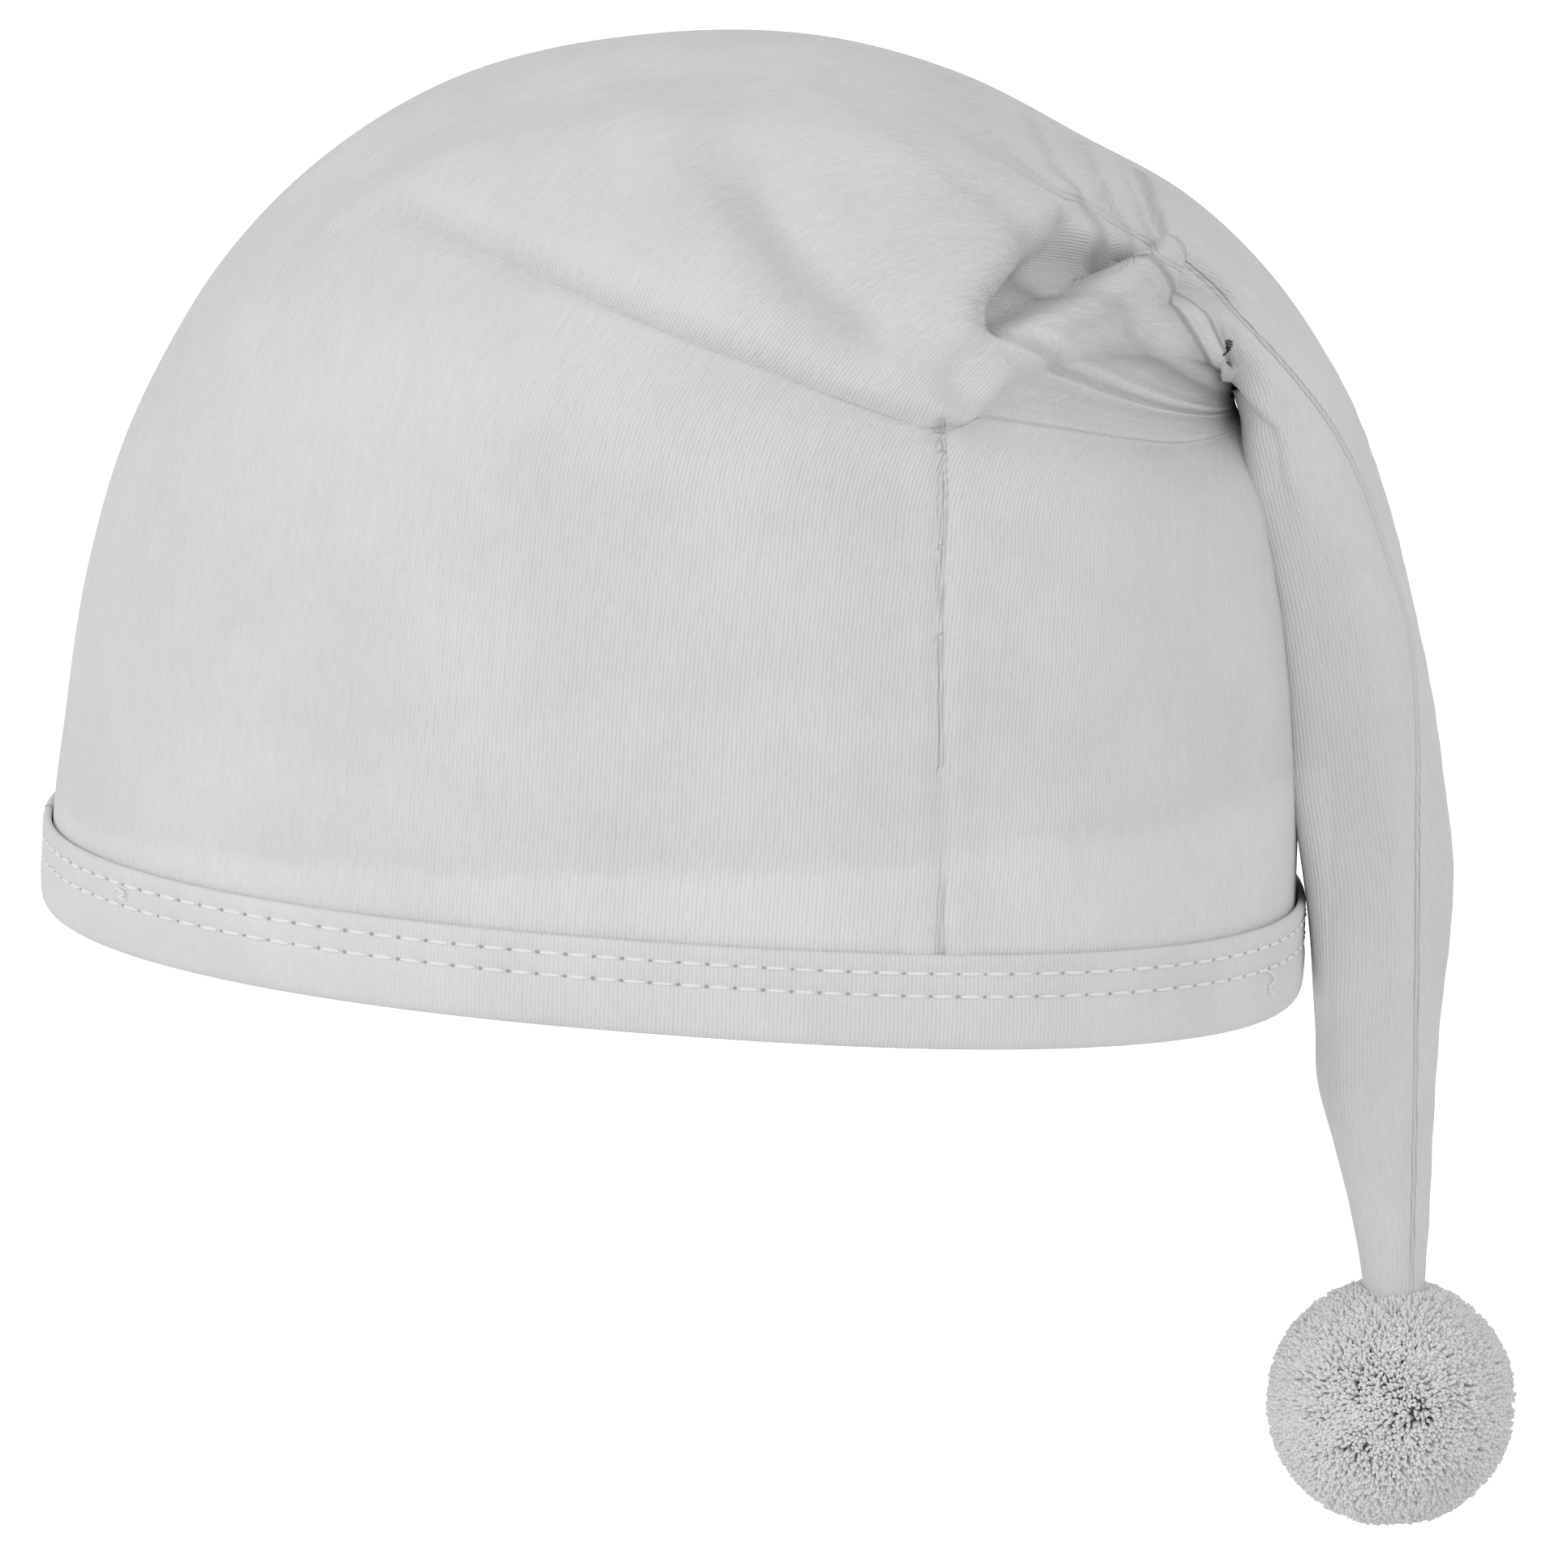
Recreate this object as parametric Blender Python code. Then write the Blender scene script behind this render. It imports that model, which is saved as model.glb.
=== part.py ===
"""A jersey nightcap in its worn form: crown, flopped-over tail, hem band and pompom.

Metres, +Z up. -X is the forehead, +X the back of the head, -Y the near side. The origin is the
middle of the opening for the head, at the level where the hem's lower edge lies on average.
"""

import bmesh
import bpy
import numpy as np

# Sizes of the head opening and the crown
head_length = 0.200
head_width = 0.160
crown_height = 0.146
rim_rise = 0.0074

# Cloth and hem
cloth = 0.0012
hem_height = 0.015
hem_cloth = 0.0010
hem_inner_height = 0.013
hem_turn = 0.0020
hem_clearance = 0.0005
seat_gap = 0.0003

# Tail and pompom
tail_depth = 0.0212
tail_width = 0.044
tail_drop = 0.0680
tail_sewn_in = 0.0100
pompom_diameter = 0.0385

# Height of a layer of cloth over the plain crown, and radius of cloth that is rolled
layer_height = 0.0062
roll_radius = 0.0042

# How near the outline of the ridge over the top the folds fade out, and how softly
ridge_clear = 0.0012
ridge_blend = 0.0100

# How finely the cloth is drawn before and after it is thinned out
columns = 200
rows_per_section = 9
soften_passes = 1
cloth_faces_kept = 0.0345
hem_columns = 60
pompom_rings = 10

# The crown's sections, from the hem to the bend behind the crown. Each is an oval between a point
# on the outer outline (forehead, top, back) and one on the inner outline (nape, bend).
# outer_x and inner_x are shares of half the head length, outer_z and inner_z of the crown height,
# half_width of half the head width. fullness moves the widest place towards the outer point.
CROWN_SECTIONS = [
    # outer_x, outer_z, inner_x, inner_z, half_width, fullness, squareness
    (-0.983, 0.000, 0.985, 0.000, 0.978, 0.00, 2.30),
    (-0.980, 0.100, 0.990, 0.100, 0.982, 0.00, 2.30),
    (-0.962, 0.205, 0.994, 0.215, 0.985, 0.00, 2.30),
    (-0.927, 0.370, 0.984, 0.365, 0.966, 0.00, 2.26),
    (-0.869, 0.518, 0.962, 0.475, 0.925, 0.00, 2.22),
    (-0.808, 0.614, 0.932, 0.550, 0.880, 0.00, 2.18),
    (-0.720, 0.719, 0.912, 0.585, 0.838, 0.00, 2.15),
    (-0.588, 0.824, 0.903, 0.600, 0.782, 0.00, 2.12),
    (-0.355, 0.933, 0.898, 0.610, 0.715, 0.00, 2.10),
    (-0.050, 0.985, 0.895, 0.618, 0.640, 0.02, 2.08),
    (0.247, 0.982, 0.893, 0.626, 0.560, 0.05, 2.05),
    (0.444, 0.943, 0.895, 0.633, 0.480, 0.10, 2.02),
    (0.647, 0.869, 0.900, 0.638, 0.400, 0.15, 2.00),
    (0.808, 0.805, 0.912, 0.640, 0.335, 0.22, 2.00),
    (0.953, 0.706, 0.928, 0.630, 0.300, 0.30, 2.00),
]

# The tail's sections, from the bend to the tip. height is a share of the crown height above the
# rim and of the tail's drop below it. behind is how far the inner side stands off the cap's
# back, and depth the section's size from there backwards, both as shares of the tail's depth.
# hug is how closely the inner side follows the round of the head.
TAIL_SECTIONS = [
    # height, behind, depth, half_width, fullness, squareness, inner_squareness, hug
    (0.600, 0.090, 0.645, 1.00, 0.20, 2.10, 2.80, 0.60),
    (0.517, 0.040, 0.790, 0.97, 0.14, 2.20, 4.00, 0.90),
    (0.390, 0.030, 0.896, 0.93, 0.10, 2.20, 5.50, 1.00),
    (0.300, 0.030, 0.967, 0.89, 0.10, 2.20, 5.50, 1.00),
    (0.190, 0.030, 1.050, 0.84, 0.10, 2.20, 5.50, 1.00),
    (0.085, 0.025, 1.047, 0.79, 0.10, 2.20, 5.00, 1.00),
    (-0.010, 0.032, 1.030, 0.74, 0.10, 2.20, 4.40, 0.90),
    (-0.165, 0.065, 0.943, 0.67, 0.10, 2.20, 3.60, 0.60),
    (-0.330, 0.112, 0.858, 0.59, 0.10, 2.20, 3.00, 0.30),
    (-0.485, 0.217, 0.731, 0.49, 0.10, 2.15, 2.70, 0.10),
    (-0.645, 0.342, 0.590, 0.39, 0.08, 2.10, 2.40, 0.00),
    (-0.800, 0.432, 0.476, 0.30, 0.05, 2.05, 2.20, 0.00),
    (-0.900, 0.464, 0.425, 0.26, 0.03, 2.05, 2.10, 0.00),
    (-1.000, 0.487, 0.380, 0.22, 0.00, 2.05, 2.05, 0.00),
]

# Outlines of the cloth layers and lines of the folds in the side view: x as shares of half the
# head length, z as shares of the crown height. An outline runs past the ridge over the top where
# its layer goes on to the other side.
BEND_HOLLOW = [
    (0.480, 0.671),
    (0.660, 0.695),
    (0.800, 0.678),
    (0.900, 0.634),
    (0.950, 0.603),
    (0.940, 0.534),
    (0.860, 0.466),
    (0.740, 0.548),
    (0.580, 0.616),
]
BEND_LAYER = [
    (0.600, 0.692),
    (0.665, 0.699),
    (0.730, 0.692),
    (0.804, 0.679),
    (0.860, 0.658),
    (0.902, 0.630),
    (0.942, 0.600),
    (0.980, 0.589),
    (0.970, 0.664),
    (0.940, 0.699),
    (0.900, 0.740),
    (0.860, 0.788),
    (0.780, 0.795),
    (0.700, 0.753),
]
POCKET = [
    (0.450, 0.671),
    (0.445, 0.712),
    (0.450, 0.753),
    (0.490, 0.795),
    (0.540, 0.825),
    (0.595, 0.848),
    (0.660, 0.863),
    (0.760, 0.849),
    (0.860, 0.808),
    (0.930, 0.767),
    (0.930, 0.726),
    (0.880, 0.705),
    (0.800, 0.719),
    (0.720, 0.733),
    (0.620, 0.712),
    (0.520, 0.685),
]
TOP_STRIP = [
    (0.560, 0.846),
    (0.600, 0.827),
    (0.640, 0.812),
    (0.700, 0.799),
    (0.760, 0.787),
    (0.840, 0.774),
    (0.920, 0.760),
    (0.970, 0.733),
    (1.040, 0.767),
    (0.920, 0.904),
    (0.720, 1.000),
    (0.580, 0.959),
]
TAIL_FACE = [
    (0.830, 0.788),
    (0.880, 0.733),
    (0.915, 0.695),
    (0.942, 0.658),
    (0.950, 0.616),
    (0.955, 0.575),
    (0.980, 0.507),
    (1.240, 0.411),
    (1.280, 0.616),
    (1.120, 0.836),
    (0.940, 0.877),
]
FLAP = [
    (-0.620, 0.671),
    (-0.540, 0.795),
    (-0.430, 0.838),
    (-0.320, 0.829),
    (-0.130, 0.788),
    (0.040, 0.740),
    (0.200, 0.699),
    (0.350, 0.660),
    (0.410, 0.647),
    (0.450, 0.649),
    (0.475, 0.671),
    (0.460, 0.712),
    (0.460, 0.747),
    (0.505, 0.788),
    (0.545, 0.814),
    (0.595, 0.835),
    (0.635, 0.845),
    (0.690, 0.847),
    (0.750, 0.833),
    (0.820, 0.808),
    (0.900, 0.775),
    (0.980, 0.740),
    (1.120, 0.822),
    (0.960, 1.027),
    (0.000, 1.199),
    (-0.700, 1.130),
    (-1.000, 0.856),
]
FAR_BEND_HOLLOW = [
    (0.500, 0.685),
    (0.660, 0.699),
    (0.800, 0.678),
    (0.920, 0.630),
    (0.950, 0.589),
    (0.920, 0.507),
    (0.780, 0.534),
    (0.600, 0.616),
]
FAR_POCKET = [
    (0.440, 0.685),
    (0.460, 0.740),
    (0.540, 0.788),
    (0.660, 0.822),
    (0.780, 0.808),
    (0.880, 0.760),
    (0.900, 0.705),
    (0.780, 0.712),
    (0.640, 0.705),
]
FAR_FLAP = [
    (-0.740, 0.671),
    (-0.620, 0.774),
    (-0.460, 0.815),
    (-0.260, 0.784),
    (-0.050, 0.736),
    (0.180, 0.692),
    (0.340, 0.664),
    (0.420, 0.658),
    (0.470, 0.678),
    (0.480, 0.726),
    (0.560, 0.777),
    (0.660, 0.812),
    (0.780, 0.798),
    (0.900, 0.753),
    (1.000, 0.726),
    (1.120, 0.822),
    (0.960, 1.027),
    (0.000, 1.199),
    (-0.800, 1.130),
    (-1.040, 0.822),
]
POCKET_ROLL = [
    (0.400, 0.664),
    (0.450, 0.678),
    (0.510, 0.699),
    (0.610, 0.722),
    (0.695, 0.747),
    (0.755, 0.771),
    (0.785, 0.801),
]
FAR_ROLL = [
    (0.400, 0.678),
    (0.540, 0.702),
    (0.670, 0.726),
    (0.800, 0.733),
]
STRIP_CREASE = [
    (0.710, 0.846),
    (0.800, 0.808),
    (0.890, 0.773),
    (0.940, 0.750),
]
FLAP_CREASE = [
    (0.050, 0.911),
    (0.110, 0.873),
    (0.145, 0.849),
    (0.200, 0.799),
    (0.270, 0.760),
    (0.360, 0.699),
]
FLAP_BANK = [
    (0.000, 0.856),
    (0.080, 0.801),
    (0.160, 0.743),
    (0.250, 0.695),
]
CROWN_SWELL = [
    (-0.120, 0.897),
    (-0.020, 0.908),
    (0.090, 0.890),
]
HOOK_RIDGE = [
    (-0.580, 0.692),
    (-0.555, 0.753),
    (-0.500, 0.815),
    (-0.440, 0.839),
    (-0.360, 0.836),
]
HOOK_CREASE = [
    (-0.540, 0.785),
    (-0.495, 0.822),
    (-0.450, 0.845),
    (-0.415, 0.860),
]
LIP_BUMP = [
    (0.460, 0.781),
    (0.435, 0.740),
    (0.440, 0.702),
    (0.460, 0.671),
]
TAIL_TWIST = [
    (1.010, -0.089),
    (1.060, -0.164),
    (1.100, -0.212),
    (1.140, -0.260),
    (1.160, -0.308),
]
FAR_CREASE = [
    (-0.080, 0.877),
    (0.040, 0.808),
    (0.140, 0.743),
    (0.220, 0.712),
]

# Layers of cloth in the order in which they lie on each other. side is -1 for the near side. level
# is the layer's height over the plain crown as a share of layer_height. Its edge is rounded over
# round and pushed out by tuck. The level sinks by sag over the reach inside the edge. It
# comes in between the first two places along x, and goes out between the last two.
LAYERS = [
    # side, outline, level, round, tuck, sag, reach, x_in, x_full, x_fading, x_out
    (-1, BEND_HOLLOW, -0.40, 0.0120, 0.0000, 0.0, 0.020, -2.0, -1.9, 0.76, 0.92),
    (-1, BEND_LAYER, 0.35, 0.0022, 0.0012, 0.0, 0.020, -2.0, -1.9, 1.8, 1.9),
    (-1, POCKET, -1.15, 0.0060, 0.0000, 0.0, 0.020, -2.0, -1.9, 1.8, 1.9),
    (-1, TOP_STRIP, 0.15, 0.0022, 0.0012, 0.0, 0.020, -2.0, -1.9, 1.8, 1.9),
    (-1, TAIL_FACE, 0.25, 0.0030, 0.0008, 1.0, 0.016, -2.0, -1.9, 1.8, 1.9),
    (-1, FLAP, 0.85, 0.0028, 0.0018, 0.7, 0.040, -0.66, -0.36, 0.78, 1.00),
    (1, FAR_BEND_HOLLOW, -0.40, 0.0120, 0.0000, 0.0, 0.020, -2.0, -1.9, 1.8, 1.9),
    (1, FAR_POCKET, -0.70, 0.0080, 0.0000, 0.0, 0.020, -2.0, -1.9, 1.8, 1.9),
    (1, FAR_FLAP, 0.90, 0.0034, 0.0020, 0.5, 0.045, -0.72, -0.30, 0.62, 0.86),
]

# Cloth rolled into a tube that lies on the layers.
ROLLS = [
    # side, line, level, fade_in, fade_out
    (-1, POCKET_ROLL, 0.45, 0.16, 0.12),
    (1, FAR_ROLL, 0.00, 0.30, 0.30),
]

# Folds that stand up along their line, or sink where the height is negative. Heights are shares
# of the layer height.
RIDGES = [
    # side, line, height, width, fade_in, fade_out
    (-1, STRIP_CREASE, -0.18, 0.0028, 0.30, 0.30),
    (-1, FLAP_CREASE, -0.70, 0.0046, 0.35, 0.14),
    (-1, FLAP_BANK, 0.28, 0.0080, 0.40, 0.40),
    (-1, CROWN_SWELL, 0.28, 0.0095, 0.45, 0.45),
    (-1, HOOK_RIDGE, 0.34, 0.0034, 0.40, 0.40),
    (-1, HOOK_CREASE, -0.16, 0.0030, 0.40, 0.40),
    (-1, LIP_BUMP, 0.30, 0.0036, 0.35, 0.35),
    (-1, TAIL_TWIST, 0.20, 0.0030, 0.35, 0.30),
    (1, FAR_CREASE, -0.45, 0.0060, 0.40, 0.25),
]

half_length = head_length / 2
half_width = head_width / 2
hem_bulge = 1.5 * hem_cloth
hem_stand_off = hem_clearance + hem_bulge + seat_gap


def smooth(share):
    """0 below 0, 1 above 1, and a soft rise between."""
    share = np.clip(share, 0.0, 1.0)
    return share * share * (3.0 - 2.0 * share)


def curve_through(points, count):
    """A smooth curve through the rows of points, as count rows spaced along it."""
    points = np.asarray(points, float)
    steps = np.sqrt(np.linalg.norm(np.diff(points[:, :2], axis=0), axis=1))
    knots = np.concatenate([[0.0], np.cumsum(steps)])
    return hermite(knots, points, np.linspace(0.0, knots[-1], count))


def hermite(knots, values, places):
    """Cubic curve through values at knots, read at places."""
    slopes = np.gradient(values, knots, axis=0)
    index = np.clip(np.searchsorted(knots, places, side="right") - 1, 0, len(knots) - 2)
    span = knots[index + 1] - knots[index]
    share = ((places - knots[index]) / span)[:, None]
    span = span[:, None]
    start, end = values[index], values[index + 1]
    rise = start * (1 + 2 * share) * (1 - share) ** 2 + end * share**2 * (3 - 2 * share)
    bend = slopes[index] * share * (1 - share) ** 2 - slopes[index + 1] * share**2 * (1 - share)
    return rise + span * bend


def section_rows():
    """Every section in metres: outer x and z, inner x and z, half width, then its shape."""
    rows = []
    for outer_x, outer_z, inner_x, inner_z, width, fullness, squareness in CROWN_SECTIONS:
        outer_height = outer_z * crown_height + (1 - outer_z) * rim_rise
        inner_height = inner_z * crown_height - (1 - inner_z) * rim_rise
        rows.append(
            (
                outer_x * half_length,
                outer_height + (hem_turn if outer_z == 0 else 0),
                inner_x * half_length,
                inner_height + (hem_turn if inner_z == 0 else 0),
                width * half_width,
                fullness,
                squareness,
                squareness,
                0.0,
            )
        )
    back_x, back_z = np.array(rows)[:7, 2], np.array(rows)[:7, 3]
    for height, behind, depth, width, fullness, square, inner_square, hug in TAIL_SECTIONS:
        level = height * (crown_height if height > 0 else tail_drop)
        past_hem = hem_stand_off * smooth((1.9 * hem_height - level) / hem_height)
        inner_x = np.interp(level, back_z, back_x) + past_hem + behind * tail_depth
        outer_x = inner_x + depth * tail_depth
        across = width * tail_width / 2
        rows.append(
            (outer_x, level, inner_x, level, across, fullness, square, inner_square, hug)
        )
    return np.array(rows)


def section_points(rows, turns):
    """Points of each section at each turn: 0 is the outer point, a quarter the near side."""
    outer_x, outer_z, inner_x, inner_z, width, fullness, outer_square, inner_square, hug = (
        rows.T[:, :, None]
    )
    angle = 2 * np.pi * turns[None, :]
    power = 2.0 / np.where(np.cos(angle) > 0, outer_square, inner_square)
    along = np.sign(np.cos(angle)) * np.abs(np.cos(angle)) ** power
    across = np.sign(np.sin(angle)) * np.abs(np.sin(angle)) ** power
    along = along + fullness * (1 - along**2)
    x = (outer_x + inner_x) / 2 + (outer_x - inner_x) / 2 * along
    z = (outer_z + inner_z) / 2 + (outer_z - inner_z) / 2 * along
    y = -width * across
    head_curve = 1 - (1 - (np.abs(y) / half_width) ** 2.3) ** (1 / 2.3)
    x = x - hug * half_length * head_curve * smooth((1 - along) / 2)
    return np.stack([x, y, z], axis=-1)


def outward(points):
    """Unit normals of a grid of points whose columns close into rings."""
    round_ring = np.roll(points, -1, axis=1) - np.roll(points, 1, axis=1)
    up_rows = np.gradient(points, axis=0)
    normal = np.cross(round_ring, up_rows)
    return normal / np.maximum(np.linalg.norm(normal, axis=-1, keepdims=True), 1e-12)


def beside_line(points, line):
    """Signed distance to a line in the side view, above it positive, and the share along it."""
    shares = np.array([half_length, crown_height])
    path = curve_through(np.array(line) * shares, 60)
    start, step = path[:-1], np.diff(path, axis=0)
    flat = points[..., [0, 2]].reshape(-1, 1, 2)
    length2 = (step**2).sum(axis=1)
    share = np.clip(((flat - start) * step).sum(axis=2) / length2, 0.0, 1.0)
    away = flat - start - share[..., None] * step
    distance = np.linalg.norm(away, axis=2)
    nearest = distance.argmin(axis=1)
    pick = np.arange(len(nearest))
    side = step[nearest, 0] * away[pick, nearest, 1] - step[nearest, 1] * away[pick, nearest, 0]
    signed = np.sign(side) * distance[pick, nearest]
    along = (nearest + share[pick, nearest]) / len(start)
    return signed.reshape(points.shape[:-1]), along.reshape(points.shape[:-1])


def inside_outline(points, outline):
    """Distance inside a closed outline in the side view, negative outside it."""
    corners = np.array(outline) * np.array([half_length, crown_height])
    corners = curve_through(np.vstack([corners, corners[:1]]), 4 * len(corners))[:-1]
    step = np.roll(corners, -1, axis=0) - corners
    flat = points[..., [0, 2]].reshape(-1, 1, 2) - corners
    share = np.clip((flat * step).sum(axis=2) / (step**2).sum(axis=1), 0.0, 1.0)
    distance = np.linalg.norm(flat - share[..., None] * step, axis=2).min(axis=1)
    above = flat[..., 1] > 0
    below_next = flat[..., 1] <= step[:, 1]
    crosses = above == below_next
    side = step[:, 0] * flat[..., 1] - step[:, 1] * flat[..., 0]
    left = crosses & ((side > 0) == (step[:, 1] > 0))
    within = left.sum(axis=1) % 2 == 1
    return np.where(within, distance, -distance).reshape(points.shape[:-1])


def uphill(points, field):
    """The unit direction on the surface in which field grows."""
    round_ring = (np.roll(points, -1, axis=1) - np.roll(points, 1, axis=1)) / 2
    up_rows = np.gradient(points, axis=0)
    field_round = (np.roll(field, -1, axis=1) - np.roll(field, 1, axis=1)) / 2
    field_up = np.gradient(field, axis=0)
    rr = (round_ring**2).sum(axis=-1)
    uu = (up_rows**2).sum(axis=-1)
    ru = (round_ring * up_rows).sum(axis=-1)
    area = np.maximum(rr * uu - ru**2, 1e-16)
    by_round = (uu * field_round - ru * field_up) / area
    by_up = (rr * field_up - ru * field_round) / area
    slope = by_round[..., None] * round_ring + by_up[..., None] * up_rows
    return slope / np.maximum(np.linalg.norm(slope, axis=-1, keepdims=True), 0.3)


def on_side(points, side):
    """1 well down the stated side, and 0 at the ridge over the top and beyond."""
    ridge = section_rows()[:, :2] / np.array([half_length, crown_height])
    below, _ = beside_line(points, ridge)
    return smooth((np.abs(below) - ridge_clear) / ridge_blend) * (side * points[..., 1] > 0)


def even_out(field):
    """Each value of a grid eased towards its neighbours."""
    field = (np.roll(field, 1, axis=1) + 2 * field + np.roll(field, -1, axis=1)) / 4
    middle = (field[:-2] + 2 * field[1:-1] + field[2:]) / 4
    return np.concatenate([field[:1], middle, field[-1:]])


def fold_cloth(points):
    """The points with every layer, roll and fold of the tables worked into them."""
    normal = outward(points)
    x_share = points[..., 0] / half_length
    lift = np.zeros(points.shape[:-1])
    slide = np.zeros_like(points)
    for side, outline, level, rounding, tuck, sag, reach, x_in, x_full, x_fading, x_out in LAYERS:
        inside = inside_outline(points, outline)
        comes = smooth((x_share - x_in) / (x_full - x_in))
        goes = 1 - smooth((x_share - x_fading) / (x_out - x_fading))
        strength = on_side(points, side) * comes * goes
        edge = np.clip(inside / rounding, 0.0, 1.0)
        covered = np.sqrt(1 - (1 - edge) ** 2) if tuck else smooth(edge)
        height = layer_height * level * strength * (1 - sag * smooth(inside / reach))
        cover = covered * np.where(strength > 0, 1.0, 0.0) * smooth(4 * strength)
        lift = lift * (1 - cover) + height * cover
        push = -tuck * strength * np.exp(-(((inside - rounding / 3) / rounding) ** 2))
        slide += push[..., None] * uphill(points, inside)
    for side, line, level, fade_in, fade_out in ROLLS:
        distance, along = beside_line(points, line)
        strength = on_side(points, side) * smooth(along / fade_in) * smooth((1 - along) / fade_out)
        radius = roll_radius * np.sqrt(np.maximum(strength, 1e-6))
        round_top = np.sqrt(np.clip(1 - (distance / radius) ** 2, 0.0, 1.0))
        tube = radius * round_top + level * layer_height
        cover = smooth(2.5 * round_top) * smooth(3 * strength)
        lift = lift * (1 - cover) + tube * cover
    for side, line, height, width, fade_in, fade_out in RIDGES:
        distance, along = beside_line(points, line)
        strength = on_side(points, side) * smooth(along / fade_in) * smooth((1 - along) / fade_out)
        lift += strength * layer_height * height * np.exp(-((distance / width) ** 2))
    for _ in range(soften_passes):
        lift = even_out(lift)
        slide = even_out(slide)
    return points + lift[..., None] * normal + slide


def cloth_grid():
    """The cap's outer face as rows of points, from the rim to the tail's tip."""
    rows = section_rows()
    middle = (rows[:, 0:2] + rows[:, 2:4]) / 2
    moved = np.linalg.norm(np.diff(middle, axis=0), axis=1)
    turned = np.linalg.norm(np.diff(rows[:, 0:2] - rows[:, 2:4], axis=0), axis=1) / 2
    knots = np.concatenate([[0.0], np.cumsum(moved + turned)])
    places = np.interp(
        np.linspace(0, len(rows) - 1, (len(rows) - 1) * rows_per_section + 1),
        np.arange(len(rows)),
        knots,
    )
    turns = np.arange(columns) / columns
    return fold_cloth(section_points(hermite(knots, rows, places), turns))


def material(name, colour, roughness):
    made = bpy.data.materials.new(name)
    made.use_nodes = True
    surface = made.node_tree.nodes["Principled BSDF"]
    surface.inputs["Base Color"].default_value = (*colour, 1.0)
    surface.inputs["Roughness"].default_value = roughness
    surface.inputs["Metallic"].default_value = 0.0
    return made


def grid_object(name, grid, finish, close_start=False, close_end=False, loop=False):
    """A mesh object from rows of rings, with either end closed by a fan, or joined end to end."""
    mesh = bmesh.new()
    rings = [[mesh.verts.new(point) for point in ring] for ring in grid]
    pairs = list(zip(rings[:-1], rings[1:], strict=True))
    if loop:
        pairs.append((rings[-1], rings[0]))
    for lower, upper in pairs:
        for here in range(len(lower)):
            after = (here + 1) % len(lower)
            mesh.faces.new((lower[here], upper[here], upper[after], lower[after]))
    for closed, ring, points in ((close_start, rings[0], grid[0]), (close_end, rings[-1], grid[-1])):
        if not closed:
            continue
        middle = mesh.verts.new(np.mean(points, axis=0))
        for here in range(len(ring)):
            mesh.faces.new((ring[here], ring[(here + 1) % len(ring)], middle))
    bmesh.ops.recalc_face_normals(mesh, faces=mesh.faces)
    data = bpy.data.meshes.new(name)
    mesh.to_mesh(data)
    mesh.free()
    data.materials.append(finish)
    data.shade_smooth()
    made = bpy.data.objects.new(name, data)
    bpy.context.scene.collection.objects.link(made)
    return made


def build_cap(finish):
    """The jersey sack: one wall of cloth, open at the rim and closed at the tail's tip."""
    cap = grid_object("cap", cloth_grid(), finish, close_end=True)
    thin = cap.modifiers.new("fewer_faces", "DECIMATE")
    thin.ratio = cloth_faces_kept
    wall = cap.modifiers.new("cloth", "SOLIDIFY")
    wall.thickness = cloth
    wall.offset = -1.0
    return cap


def build_hem_band(finish):
    """The doubled strip that grips the wall's lower edge on both sides and turns under it."""
    rows = section_rows()[:2]
    turns = np.arange(hem_columns) / hem_columns
    edge, top = section_points(rows, turns)
    out = np.stack([edge[:, 0] / half_length**2, edge[:, 1] / half_width**2, 0 * edge[:, 2]], -1)
    out /= np.linalg.norm(out, axis=1, keepdims=True)
    rise = (top - edge) / (hem_height - hem_turn)
    outer = hem_clearance
    inner = -cloth - hem_clearance
    under = -hem_turn + hem_cloth
    over = hem_height - hem_turn
    inner_over = hem_inner_height - hem_turn
    profile = [
        # distance out from the wall's outer face, height above the wall's lower edge
        (outer, over),
        (outer + hem_cloth * 0.6, over + 0.0004),
        (outer + hem_cloth * 1.3, over - 0.0004),
        (outer + hem_bulge, over * 0.7),
        (outer + hem_cloth * 1.3, over * 0.3),
        (outer + hem_cloth * 1.2, under * 0.4),
        (outer + hem_cloth * 0.7, -hem_turn * 0.85),
        (-cloth / 2, -hem_turn),
        (inner - hem_cloth * 0.6, -hem_turn * 0.85),
        (inner - hem_cloth, under * 0.4),
        (inner - hem_cloth, inner_over),
        (inner, inner_over),
        (inner, -seat_gap),
        (outer, -seat_gap),
    ]
    grid = [edge + away * out + height * rise for away, height in profile]
    return grid_object("hem_band", grid, finish, loop=True)


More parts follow.
